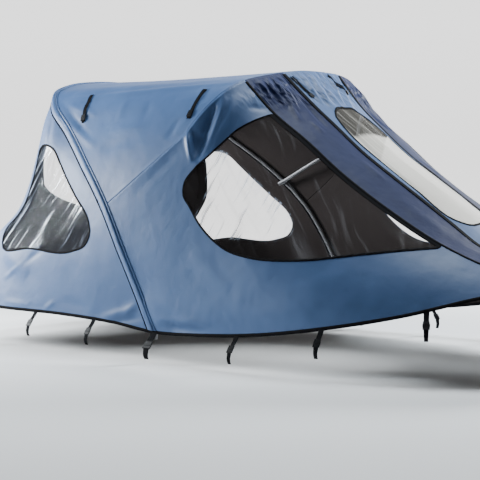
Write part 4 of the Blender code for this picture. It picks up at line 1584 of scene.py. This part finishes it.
def tube_grid(path: np.ndarray, radius: float, sides: int = 10) -> np.ndarray:
    """Rings of points round a path, each a circle square to it.

    Args:
        path: points of the path.
        radius: radius of the rings.
        sides: points in a ring.

    Returns:
        A grid, along the path by round it.
    """
    along = tangents(path)
    across = unit(np.cross(along, np.array([0.0, 0.0, 1.0]) + 1e-3))
    third = np.cross(along, across)
    angle = np.linspace(0.0, 2 * math.pi, sides, endpoint=False)[None, :, None]
    return path[:, None] + radius * (np.cos(angle) * across[:, None] + np.sin(angle) * third[:, None])


@dataclass
class ClothPanels:
    """The panels, with their windows' film and the tape around it.

    Attributes:
        shape: the fine grids.
        finishes: the materials.
        tape_width: width of the tape round a window.
        tape_lap: how far that tape reaches over the window's edge.
        pane_lap: how far the film reaches behind the cloth.
        sheets: the finished cloth of each panel.
        sewn_on: what is sewn on each panel.
        cut_area: area of each panel's cloth without its window.
    """

    shape: CanopyShape
    finishes: Finishes
    tape_width: float = 0.010
    tape_lap: float = 0.002
    pane_lap: float = 0.012
    sheets: dict[str, bpy.types.Object] = field(default_factory=dict)
    sewn_on: dict[str, list[bpy.types.Object]] = field(default_factory=dict)
    cut_area: dict[str, float] = field(default_factory=dict)

    def build(self) -> None:
        """Make every panel, with its window if it has one."""
        windows = every_window()
        films = {window.name: window.film.build() for window in windows}
        cut_in = {name: window for window in windows for name in window.panels}
        for name, panel in self.shape.panels.items():
            surface = panel.surface()
            self.sewn_on[name] = []
            window = cut_in.get(name)
            if window is not None:
                away = window.distance(surface.place)
                self._add_window(window, name, surface, away, films[window.name])
                surface = surface.clipped(away)
            self._add_cloth(name, surface)

    def _add_window(
        self, window: Window, name: str, surface: Surface, away: np.ndarray, film: Coat
    ) -> None:
        """The film behind a panel's window and the tape round it.

        Args:
            window: the window.
            name: the panel's name.
            surface: the panel before it is cut.
            away: distance of its points to the window's outline.
            film: the film's material.
        """
        tail = name[name.rfind("_") :] if len(window.panels) > 1 else ""
        back = surface.clipped(self.pane_lap - away)
        points = back.place - back.normal * (CLOTH + FILM_GAP)
        pane = placed(window.name + "_film" + tail, points, back.faces, [film], back.metres)
        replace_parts(pane, window.name + "_pane" + tail)
        wide = Surface(np.column_stack([surface.data, away]), surface.faces)
        ring = wide.clipped(away + self.tape_lap)
        ring = ring.clipped(self.tape_width - self.tape_lap - ring.data[:, -1])
        points = ring.place + ring.normal * TAPE_LIFT
        tape = placed(window.name + "_binding" + tail, points, ring.faces, [self.finishes.tape],
                      ring.metres)
        thickened(tape, TAPE, 1.0)
        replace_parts(tape, window.name + "_tape" + tail)
        self.sewn_on[name] += [pane, tape]

    def _add_cloth(self, name: str, surface: Surface) -> None:
        """The panel's cloth with its lining.

        Args:
            name: the panel's name.
            surface: the panel, cut out for its window.
        """
        # The front bands take the darker cloth, whose colour holds painted shade.
        outer = self.finishes.band if name.startswith("front_band") else self.finishes.cloth
        sheet = placed(name + "_cloth", surface.place, surface.faces, [outer, self.finishes.lining],
                       surface.metres, surface.seam)
        thickened(sheet, CLOTH, -1.0, 1)
        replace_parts(sheet, name)
        self.sheets[name] = sheet
        self.cut_area[name] = surface.area()

    def declare(self) -> None:
        for name, sheet in self.sheets.items():
            self.shape.panels[name].flat_size()


@dataclass
class SewnOn:
    """What is sewn on the panels.

    Attributes:
        stitcher: lays it on the cloth.
        cloth: the panels that it is sewn on.
    """

    stitcher: Stitcher
    cloth: ClothPanels

    def edge(self, name: str, which: Border) -> Edge:
        """An edge of a panel, by the panel's name."""
        return Edge.of(self.stitcher.shape.panels[name], which)


@dataclass
class Sleeve(SewnOn):
    """The cloth sleeve over the main bow, with piping along its aft edge.

    Attributes:
        width: width of the sleeve.
        cut_share: width of the cloth it is cut from, over that.
        sheet: thickness of its cloth.
        base: height of its edges over the panels.
        crown: how much higher its middle is.
        furrow: depth of the furrow along its fore side.
        furrow_share: place of the furrow, as a share of half the width.
        furrow_spread: half width of the furrow, as such a share.
        piping_radius: radius of the piping.
        piping_lift: height of the piping's middle over the sleeve's edge.
        trim: steps left out at each end.
        steps: columns on each side of the seam.
    """

    width: float = 0.046
    cut_share: float = 1.12
    sheet: float = 0.0009
    base: float = 0.0010
    crown: float = 0.0070
    furrow: float = 0.0050
    furrow_share: float = -0.60
    furrow_spread: float = 0.15
    piping_radius: float = 0.0050
    piping_lift: float = 0.0012
    trim: int = 3
    steps: int = 10

    def build(self) -> None:
        """Make the sleeve and its piping."""
        seam = self._seam().trimmed(self.trim, self.trim)
        finishes = self.stitcher.finishes
        grid = self.stitcher.over_seam(seam, self.width / 2, self._lift, self.steps)
        sleeve = self.stitcher.ribbon("bow_sleeve_cloth", grid, finishes.cloth, self.sheet)
        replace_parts(sleeve, "bow_sleeve")
        way = unit(grid[:, -1] - grid[:, -2])
        rim = grid[:, -1] + way * self.piping_radius + seam.normals * self.piping_lift
        tube = tube_grid(rim, self.piping_radius)
        piping = self.stitcher.ribbon("bow_sleeve_piping", tube, finishes.tape, 0.0, True)
        self.cloth.sewn_on["roof_panel"] += [piping]
        flat = (self.width * self.cut_share, float(run_length(seam.line)[-1]))

    def _lift(self, share: np.ndarray) -> np.ndarray:
        """Height over the panels: a flattened crown less a bell-shaped furrow."""
        furrow = np.exp(-(((share - self.furrow_share) / self.furrow_spread) ** 2))
        return self.base + self.crown * (1 - share**2) ** 0.8 - self.furrow * furrow

    def _seam(self) -> Seam:
        """The seam over the main bow, from the starboard foot to the port foot.

        Returns:
            The seam, its fore side first.
        """
        high = STEPS_SHOULDER + STEPS_CORNER
        far = high + STEPS_REAR_CROWN
        roof = self.edge("roof_panel", Border.BOTTOM)
        aft = [
            self.edge("rear_side_panel_starboard", Border.RIGHT),
            self.edge("rear_side_panel_starboard", Border.TOP).turned(),
            self.edge("rear_curtain", Border.TOP),
            self.edge("rear_side_panel_port", Border.TOP),
            self.edge("rear_side_panel_port", Border.RIGHT).turned(),
        ]
        fore = [
            self.edge("side_panel_starboard", Border.LEFT),
            roof.part(0, high),
            roof.part(high, far),
            roof.part(far, far + high),
            self.edge("side_panel_port", Border.LEFT).turned(),
        ]
        return Seam.along(fore, aft)


@dataclass
class ZipLines(SewnOn):
    """The zips between side, band and front panel, each under its black tape.

    Attributes:
        half_one: half width of the tape on line one, between side and band.
        half_two: half width on line two, between band and front panel, made wide enough that the black
            tape also covers the shade beside the zip flap: partly the real flap, partly painted shadow.
        base: height of the tape's edges over the cloth.
        crown: how much higher the tape is over the zip.
        trim_low: steps left out at the hem.
        trim_high: steps left out at the bow.
        steps: columns on each side of the seam.
    """

    half_one: float = 0.0075
    # Line two's black tape is nearly twice as wide as line one's, so that it also covers the strip of
    # shade beside the zip flap: painted shadow.
    half_two: float = 0.0135
    base: float = 0.0006
    crown: float = 0.0016
    trim_low: int = 2
    trim_high: int = 1
    steps: int = 3

    def build(self) -> None:
        """Make the tapes of both lines on both sides."""
        for side in Side:
            tail = "_" + side.label
            last = Border.LEFT if side is Side.STARBOARD else Border.RIGHT
            side_edge = self.edge("side_panel" + tail, Border.RIGHT)
            band_near = self.edge("front_band" + tail, Border.LEFT)
            band_far = self.edge("front_band" + tail, Border.RIGHT)
            front = self.edge("front_panel", last)
            self._add_tape("line_one", tail, Seam.along([side_edge], [band_near]), self.half_one)
            self._add_tape("line_two", tail, Seam.along([band_far], [front]), self.half_two)

    def _add_tape(self, line: str, tail: str, seam: Seam, half: float) -> None:
        """The tape over one zip.

        Args:
            line: the line's name.
            tail: the side's ending in names.
            seam: the seam.
            half: half width of the tape.
        """
        grid = self.stitcher.over_seam(
            seam.trimmed(self.trim_low, self.trim_high), half, self._lift, self.steps
        )
        name = line + tail + "_binding"
        tape = self.stitcher.ribbon(name, grid, self.stitcher.finishes.tape, TAPE)
        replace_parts(tape, line + "_tape" + tail)
        self.cloth.sewn_on[seam.panels[0][0]] += [tape]

    def _lift(self, share: np.ndarray) -> np.ndarray:
        """Height over the cloth: a parabola across the tape."""
        return self.base + self.crown * (1 - share**2)


@dataclass
class HemBinding(SewnOn):
    """Tape folded round the hem.

    Attributes:
        width: width of the tape on each face of the cloth.
        brim: distance of its last points on the cloth from the hem.
        under: how far the fold stands below the hem.
    """

    width: float = 0.014
    brim: float = 0.0006
    under: float = 0.0012

    def build(self) -> None:
        """Make every length of hem tape."""
        for name, panels in HEM_TAPES.items():
            edges = [self.edge(panel, Border.BOTTOM) for panel in panels]
            edges = [edge.turned() if edge.panel == "front_band_port" else edge for edge in edges]
            self._add_tape(name, Seam.along(edges), panels)

    def _add_tape(self, name: str, seam: Seam, panels: Sequence[str]) -> None:
        """One length of tape: down the outer face, under the hem and up the inner face.

        Args:
            name: the frame's node that it takes the place of.
            seam: the hem.
            panels: the panels that it binds.
        """
        way = seam.ways[0]
        reach = np.array([self.width, self.width / 2, self.brim])
        place, normal = self.stitcher.seated(
            seam.line[:, None] + way[:, None] * reach[None, :, None], panels
        )
        outer = place + normal * TAPE_LIFT
        inner = place - normal * (CLOTH + TAPE_LIFT)
        under = seam.line - way * self.under - seam.normals * (CLOTH / 2)
        grid = np.concatenate([outer, under[:, None], inner[:, ::-1]], axis=1)[1:-1]
        tape = self.stitcher.ribbon(name + "_binding", grid, self.stitcher.finishes.tape, TAPE)
        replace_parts(tape, name)
        self.cloth.sewn_on[panels[0]] += [tape]


@dataclass
class Block:
    """Boxes and webbing gathered into one mesh.

    Attributes:
        bevel: rounding of its edges.
        sharp: edges steeper than this many degrees stay sharp.
        points: points of each part.
        faces: faces of each part.
        kinds: what each face is made of.
        count: number of points so far.
    """

    bevel: float
    sharp: float = 35.0
    points: list[np.ndarray] = field(default_factory=list)
    faces: list[np.ndarray] = field(default_factory=list)
    kinds: list[Stuff] = field(default_factory=list)
    count: int = 0

    def add_loft(self, sections: np.ndarray, kind: Stuff) -> None:
        """Add a closed solid through loops of four corners.

        Args:
            sections: the loops, one after the other.
            kind: what it is made of.
        """
        index = np.arange(len(sections) * 4).reshape(-1, 4)
        ahead = np.roll(index, -1, axis=1)
        sides = np.stack([index[:-1], ahead[:-1], ahead[1:], index[1:]], axis=-1).reshape(-1, 4)
        faces = np.vstack([sides, index[:1, ::-1], index[-1:]])
        self.points.append(sections.reshape(-1, 3))
        self.faces.append(faces + self.count)
        self.kinds += [kind] * len(faces)
        self.count += index.size

    def add_box(self, frame: np.ndarray, centre: np.ndarray, size: Sequence[float]) -> None:
        """Add a plastic box.

        Args:
            frame: unit directions of its length, width and height.
            centre: its centre.
            size: its length, width and height.
        """
        along, across, up = frame * (np.asarray(size) / 2)[:, None]
        corners = np.array([-across - up, across - up, across + up, -across + up])
        self.add_loft(centre + np.array([-along, along])[:, None] + corners, Stuff.PLASTIC)

    def build(self, name: str, coats: Sequence[Coat]) -> bpy.types.Object:
        """Make the object, with its edges rounded.

        Args:
            name: the object's name.
            coats: the materials, in the order of Stuff.

        Returns:
            The object.
        """
        points = np.vstack(self.points)
        made = placed(name, points, np.vstack(self.faces), coats, points[:, :2], kinds=self.kinds)
        shell = bmesh.new()
        shell.from_mesh(made.data)
        bmesh.ops.recalc_face_normals(shell, faces=shell.faces)
        shell.to_mesh(made.data)
        shell.free()
        made.data.set_sharp_from_angle(angle=math.radians(self.sharp))
        step = made.modifiers.new("rounding", "BEVEL")
        step.width = self.bevel
        step.segments = 2
        step.limit_method = "ANGLE"
        return made


@dataclass(frozen=True)
class Buckle:
    """A side-release buckle: a socket with a rib, and a plug with two prongs.

    Attributes:
        length: its whole length.
        width: its whole width.
        thick: its thickness.
        socket_share: length of the socket, as a share of the whole.
        socket_width: width of the socket, as a share of the whole.
        gap: gap between the socket and the plug's head.
        head_thick: thickness of the plug's head, as a share of the whole.
        prong_place: place of the prongs across it, as a share of the width.
        prong_size: length, width and thickness of a prong, as shares of the whole.
        rib_size: length and width of the rib, as shares of the socket and of the whole.
        rib_rise: thickness of the rib.
    """

    length: float
    width: float
    thick: float = 0.0062
    socket_share: float = 0.55
    socket_width: float = 0.92
    gap: float = 0.0015
    head_thick: float = 0.8
    prong_place: float = 0.47
    prong_size: tuple[float, float, float] = (0.42, 0.12, 0.55)
    rib_size: tuple[float, float] = (0.5, 0.45)
    rib_rise: float = 0.0010

    def add_to(self, block: Block, frame: np.ndarray, centre: np.ndarray) -> None:
        """Add its boxes to a block.

        Args:
            block: the block.
            frame: unit directions of its length, width and height.
            centre: its centre.
        """
        share = self.length * self.socket_share
        socket = centre - frame[0] * (self.length - share) / 2
        block.add_box(frame, socket, (share, self.width * self.socket_width, self.thick))
        rest = self.length - share - self.gap
        plug = centre + frame[0] * (self.length - rest) / 2
        block.add_box(frame, plug, (rest, self.width, self.thick * self.head_thick))
        size = np.array(self.prong_size) * (self.length, self.width, self.thick)
        for step in (-1.0, 1.0):
            block.add_box(frame, centre + frame[1] * step * self.width * self.prong_place, size)
        rib = (share * self.rib_size[0], self.width * self.rib_size[1], self.rib_rise)
        block.add_box(frame, socket + frame[2] * self.thick * 0.5, rib)


@dataclass
class HemStraps(SewnOn):
    """The straps over the boat's side, each with its buckle.

    Attributes:
        buckle_from: start of the buckle, out from the hem's line and up.
        buckle_to: end of the buckle.
        buckle_lift: height of the buckle's middle over that run.
        buckle_spare: how much longer than that run the buckle is.
        buckle_widening: width of the buckle over the webbing's.
        lean: how much a buckle's outer face may look up.
        bevel: rounding of the edges.
    """

    buckle_from: tuple[float, float] = (0.0345, -0.038)
    buckle_to: tuple[float, float] = (0.0545, -0.065)
    buckle_lift: float = 0.0030
    buckle_spare: float = 0.004
    buckle_widening: float = 1.22
    lean: float = 0.3
    bevel: float = 0.0005

    def build(self) -> None:
        """Make the straps of both sides, numbered from the stern."""
        panels = self.stitcher.shape.panels
        for side in Side:
            rear, fore = (panels[kind + side.label].grid[:, 0]
                          for kind in ("rear_side_panel_", "side_panel_"))
            line = joined(rear, fore)
            for number, (place, width, lift) in enumerate(HEM_STRAPS, start=1):
                ends = place + np.array([-0.5, 0.5]) * width
                chord = np.stack([np.interp(ends, line[:, 0], line[:, k]) for k in range(3)], axis=1)
                self._add_strap("hem_strap_%s_%d" % (side.label, number), side, chord, lift)

    def _add_strap(self, name: str, side: Side, chord: np.ndarray, lift: float) -> None:
        """A strap with its buckle, hanging from the hem.

        Args:
            name: the frame's node that it takes the place of.
            side: the side of the canopy.
            chord: the two ends of the strap's width on the hem.
            lift: its stand-off from the hem's line.
        """
        run = np.array(HEM_STRAP_RUN)
        width = chord[1, 0] - chord[0, 0]
        seat = chord.mean(axis=0)
        along = unit((chord[1] - chord[0]) * (1.0, 1.0, 0.0))
        out = np.array([along[1], -along[0], 0.0]) * side.turn[1]
        up = np.array([0.0, 0.0, 1.0])
        path = seat + (run[:, :1] + lift) * out + run[:, 1:2] * up
        way = tangents(run[:, :2])
        rise = (-way[:, 1:2] * out + way[:, :1] * up) * WEBBING
        across = along[None] * (width * run[:, 2:3] / 2)
        sections = [path - across, path + across, path + across + rise, path - across + rise]
        block = Block(self.bevel)
        block.add_loft(np.stack(sections, axis=1), Stuff.WEBBING)
        first, last = (seat + (end[0] + lift) * out + end[1] * up
                       for end in (self.buckle_from, self.buckle_to))
        length = float(np.linalg.norm(last - first))
        lengthwise = (last - first) / length
        frame = np.stack([lengthwise, along, np.cross(lengthwise, along)])
        frame[2] *= np.sign(frame[2] @ (out + up * self.lean))
        buckle = Buckle(length + self.buckle_spare, width * self.buckle_widening)
        buckle.add_to(block, frame, (first + last) / 2 + frame[2] * self.buckle_lift)
        finishes = self.stitcher.finishes
        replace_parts(block.build(name + "_webbing", [finishes.webbing, finishes.plastic]), name)


@dataclass(frozen=True)
class RollStrapKind:
    """How one kind of roll-up strap is made.

    Attributes:
        panel: the panel that it lies on.
        seen: the two axes that its ends are given in.
        points: points along it.
        strips: strips beside each other, from edge to edge as shares of its width.
        buckle_step: how many points before its end the buckle sits.
        buckle_length: length of the buckle.
    """

    panel: str
    seen: tuple[int, int]
    points: int
    strips: tuple[tuple[float, float, Stuff], ...]
    buckle_step: int
    buckle_length: float


@dataclass
class RollStraps(SewnOn):
    """The short straps that hold a rolled-up panel.

    Attributes:
        width: width of a strap.
        webbing_base: height of the webbing's inner face over the cloth.
        cloth_base: height of the inner face of the cloth between two webbings.
        cloth_rise: thickness of that cloth.
        shoulder_inner: the roof's straps lie further out than this.
        buckle_lift: height of the buckle's middle over the cloth.
        buckle_widening: width of the buckle over the strap's.
        bevel: rounding of the edges.
        roof: the kind on the roof's shoulders, one webbing wide.
        front: the kind on the front panel, two webbings joined by cloth.
    """

    width: float = 0.022
    webbing_base: float = 0.0024
    cloth_base: float = 0.0006
    cloth_rise: float = 0.0008
    shoulder_inner: float = 0.45
    buckle_lift: float = 0.0062
    buckle_widening: float = 1.35
    bevel: float = 0.0004
    roof: RollStrapKind = RollStrapKind(
        "roof_panel", (0, 2), 19, ((-0.5, 0.5, Stuff.WEBBING),), 4, 0.036
    )
    front: RollStrapKind = RollStrapKind(
        "front_panel", (0, 1), 15,
        ((-0.6, -0.15, Stuff.WEBBING), (-0.15, 0.15, Stuff.CLOTH), (0.15, 0.6, Stuff.WEBBING)),
        2, 0.024,
    )

    def build(self) -> None:
        """Make the straps on the roof's shoulders and on the front panel."""
        panels = self.stitcher.shape.panels
        roof = panels[self.roof.panel].grid.reshape(-1, 3)
        front = panels[self.front.panel].grid.reshape(-1, 3)
        for place, start, stop in ROOF_STRAPS:
            for side in Side:
                shoulder = roof[roof[:, 1] * side.turn[1] < -self.shoulder_inner]
                name = "roof_strap_%s_%s" % (side.label, place)
                self._add_strap(name, self.roof, shoulder, start, stop)
        for place, start, stop in FRONT_STRAPS:
            self._add_strap("front_strap_" + place, self.front, front, start, stop)

    def _add_strap(
        self, name: str, kind: RollStrapKind, cloth: np.ndarray, start: Sequence, stop: Sequence
    ) -> None:
        """A strap laid straight between two places on a panel.

        Args:
            name: the frame's node that it takes the place of.
            kind: how it is made.
            cloth: points of the panel where it may lie.
            start: its upper end in the kind's two axes.
            stop: its lower end.
        """
        panel, seen = [kind.panel], list(kind.seen)
        share = np.linspace(0.0, 1.0, kind.points)[:, None]
        places = np.array(start) * (1 - share) + np.array(stop) * share
        away = ((places[:, None] - cloth[None][:, :, seen]) ** 2).sum(axis=2)
        path = cloth[np.argmin(away, axis=1)].copy()
        path[:, seen] = places
        path, _ = self.stitcher.seated(path, panel)
        _, normal = self.stitcher.seated(path, panel)
        along = tangents(path)
        side = unit(np.cross(normal, along))
        block = Block(self.bevel)
        for low, high, stuff in kind.strips:
            webbing = stuff is Stuff.WEBBING
            base = self.webbing_base if webbing else self.cloth_base
            top = base + (WEBBING if webbing else self.cloth_rise)
            near, far = (self.stitcher.seated(path + side * self.width * part, panel)[0]
                         for part in (low, high))
            sections = [near + normal * base, far + normal * base, far + normal * top,
                        near + normal * top]
            block.add_loft(np.stack(sections, axis=1), stuff)
        back = -kind.buckle_step
        frame = np.stack([along[back], side[back], normal[back]])
        buckle = Buckle(kind.buckle_length, self.width * self.buckle_widening)
        buckle.add_to(block, frame, path[back] + normal[back] * self.buckle_lift)
        finishes = self.stitcher.finishes
        coats = [finishes.webbing, finishes.plastic, finishes.cloth]
        strap = block.build(name + "_webbing", coats)
        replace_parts(strap, name)
        self.cloth.sewn_on[kind.panel] += [strap]


@dataclass(frozen=True)
class Bows:
    """The bare metal bows with their hinges, which stay the frame's own pieces.

    Attributes:
        names: their nodes.
        sharp: edges steeper than this many degrees stay sharp.
    """

    names: tuple[str, ...] = ("main_bow", "front_bow", "bow_hinge_starboard", "bow_hinge_port")
    sharp: float = 40.0

    def dress(self, nodes: dict[str, bpy.types.Object], coat: Coat) -> None:
        """Give them their metal.

        Args:
            nodes: the frame's nodes by name.
            coat: the metal.
        """
        for name in self.names:
            mesh = nodes[name].data
            mesh.materials.clear()
            mesh.materials.append(coat.material)
            mesh.shade_smooth()
            mesh.set_sharp_from_angle(angle=math.radians(self.sharp))


@dataclass(frozen=True)
class PhotoCamera:
    """The camera that took the photograph.

    Attributes:
        place: where it stands.
        azimuth: its turn about the vertical, in degrees.
        pitch: how far it looks down, in degrees.
        lens: its focal length, in millimetres.
        sensor: width of its sensor, in millimetres.
        sight: how far it sees.
    """

    place: tuple[float, float, float] = (4.06537, -5.40401, 0.69086)
    azimuth: float = 38.0
    pitch: float = 2.3786
    lens: float = 97.5
    sensor: float = 36.0
    sight: float = 100.0

    def build(self) -> None:
        """Make it the scene's camera."""
        camera = bpy.data.cameras.new("camera")
        camera.lens = self.lens
        camera.sensor_width = self.sensor
        camera.clip_end = self.sight
        holder = bpy.data.objects.new("camera", camera)
        holder.location = self.place
        holder.rotation_euler = (math.radians(90.0 - self.pitch), 0.0, math.radians(self.azimuth))
        bpy.context.scene.collection.objects.link(holder)
        bpy.context.scene.camera = holder


@dataclass(frozen=True)
class Lamp:
    """A round soft light.

    Attributes:
        name: its name.
        place: where it hangs.
        size: its diameter.
        power: its power, in watts.
        colour: its colour.
    """

    name: str
    place: tuple[float, float, float]
    size: float
    power: float
    colour: tuple[float, float, float]

    def build(self, aim: tuple[float, float, float]) -> None:
        """Hang the light, turned to a point.

        Args:
            aim: the point.
        """
        light = bpy.data.lights.new(self.name, "AREA")
        light.shape = "DISK"
        light.size = self.size
        light.energy = self.power
        light.color = self.colour
        holder = bpy.data.objects.new(self.name, light)
        turn = (Vector(aim) - Vector(self.place)).to_track_quat("-Z", "Y").to_matrix()
        holder.matrix_world = Matrix.Translation(self.place) @ turn.to_4x4()
        bpy.context.scene.collection.objects.link(holder)


@dataclass(frozen=True)
class Studio:
    """A pale floor that curves up far behind, soft lights and a pale surrounding.

    Attributes:
        azimuth: the direction that the floor runs away in, as the camera's.
        level: height of the floor.
        front: how far the floor starts before the middle.
        reach: where it begins to curve up, and radius: of that curve.
        top: its height behind.
        half_width: half its width.
        shade: its grey.
        glow: strength of its light far behind.
        glow_from: distances behind the middle between which that light grows.
        lamps: the lights.
        aim: the point that they face.
        air: colour and strength of the surrounding light.
    """

    azimuth: float
    level: float = -0.135
    front: float = 16.0
    reach: float = 15.0
    radius: float = 4.0
    top: float = 12.0
    half_width: float = 24.0
    shade: float = 0.64
    glow: float = 1.5
    glow_from: tuple[float, float] = (1.2, 6.5)
    lamps: tuple[Lamp, ...] = (
        Lamp("key light", (-3.35, -1.90, 1.35), 1.5, 450.0, (0.92, 0.97, 1.0)),
        Lamp("top light", (0.2, 0.8, 5.0), 2.4, 410.0, (0.86, 0.94, 1.0)),
        Lamp("bow light", (2.4, 6.0, 3.2), 1.8, 1150.0, (0.92, 0.97, 1.0)),
    )
    aim: tuple[float, float, float] = (0.1, 0.0, 0.6)
    air: tuple[tuple[float, float, float, float], float] = ((0.95, 0.97, 1.0, 1.0), 0.09)

    def build(self) -> None:
        """Make the floor, the lights and the surrounding."""
        self._build_floor()
        for lamp in self.lamps:
            lamp.build(self.aim)
        world = bpy.data.worlds.new("studio")
        world.use_nodes = True
        background = world.node_tree.nodes["Background"]
        background.inputs["Color"].default_value, background.inputs["Strength"].default_value = self.air
        bpy.context.scene.world = world

    def _material(self) -> bpy.types.Material:
        """A matt pale floor that begins to glow far behind the canopy.

        Returns:
            The material.
        """
        look = Look("studio floor")
        x, y, _ = look.axes("Object")
        angle = math.radians(self.azimuth)
        behind = x * -math.sin(angle) + y * math.cos(angle)
        look.set({
            "Emission Color": look.mix(behind.ramp(*self.glow_from), (0.0,) * 3, (1.0,) * 3),
            "Emission Strength": self.glow,
            "Base Color": (self.shade, self.shade, self.shade, 1.0),
            "Roughness": 0.9,
            "Specular IOR Level": 0.05,
        })
        return look.material

    def _build_floor(self) -> None:
        """The floor: a flat stretch, a quarter circle and a wall, carried straight sideways."""
        angle = math.radians(self.azimuth)
        back = np.array([-math.sin(angle), math.cos(angle), 0.0])
        side = np.array([back[1], -back[0], 0.0])
        turn = np.linspace(0.0, math.pi / 2, 13)
        curve = self.reach + self.radius * np.sin(turn)
        run = np.concatenate([[-self.front], curve, [self.reach + self.radius]])
        rise = np.concatenate([[0.0], self.radius * (1 - np.cos(turn)), [self.top]])
        spread = np.array([-self.half_width, self.half_width])
        points = run[:, None, None] * back + spread[None, :, None] * side
        points[..., 2] = rise[:, None] + self.level
        index = np.arange(points.shape[0] * 2).reshape(-1, 2)
        faces = np.stack([index[:-1, 0], index[:-1, 1], index[1:, 1], index[1:, 0]], axis=-1)
        mesh = bpy.data.meshes.new("studio floor")
        mesh.from_pydata(points.reshape(-1, 3).tolist(), [], faces.tolist())
        mesh.materials.append(self._material())
        mesh.shade_smooth()
        floor = bpy.data.objects.new("studio floor", mesh)
        bpy.context.scene.collection.objects.link(floor)


def main() -> None:
    """Build the whole scene."""
    logging.basicConfig(level=logging.INFO)
    for old in list(bpy.data.objects):
        bpy.data.objects.remove(old, do_unlink=True)
    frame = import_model()
    finishes = Finishes()
    shape = CanopyShape()
    panels = ClothPanels(shape, finishes)
    panels.build()
    stitcher = Stitcher(shape, finishes)
    for sewn in (Sleeve, ZipLines, HemBinding, HemStraps, RollStraps):
        sewn(stitcher, panels).build()
    panels.declare()
    Bows().dress(frame["nodes"], finishes.tube)
    camera = PhotoCamera()
    Studio(camera.azimuth).build()
    camera.build()
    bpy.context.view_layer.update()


if __name__ == "__main__":
    main()
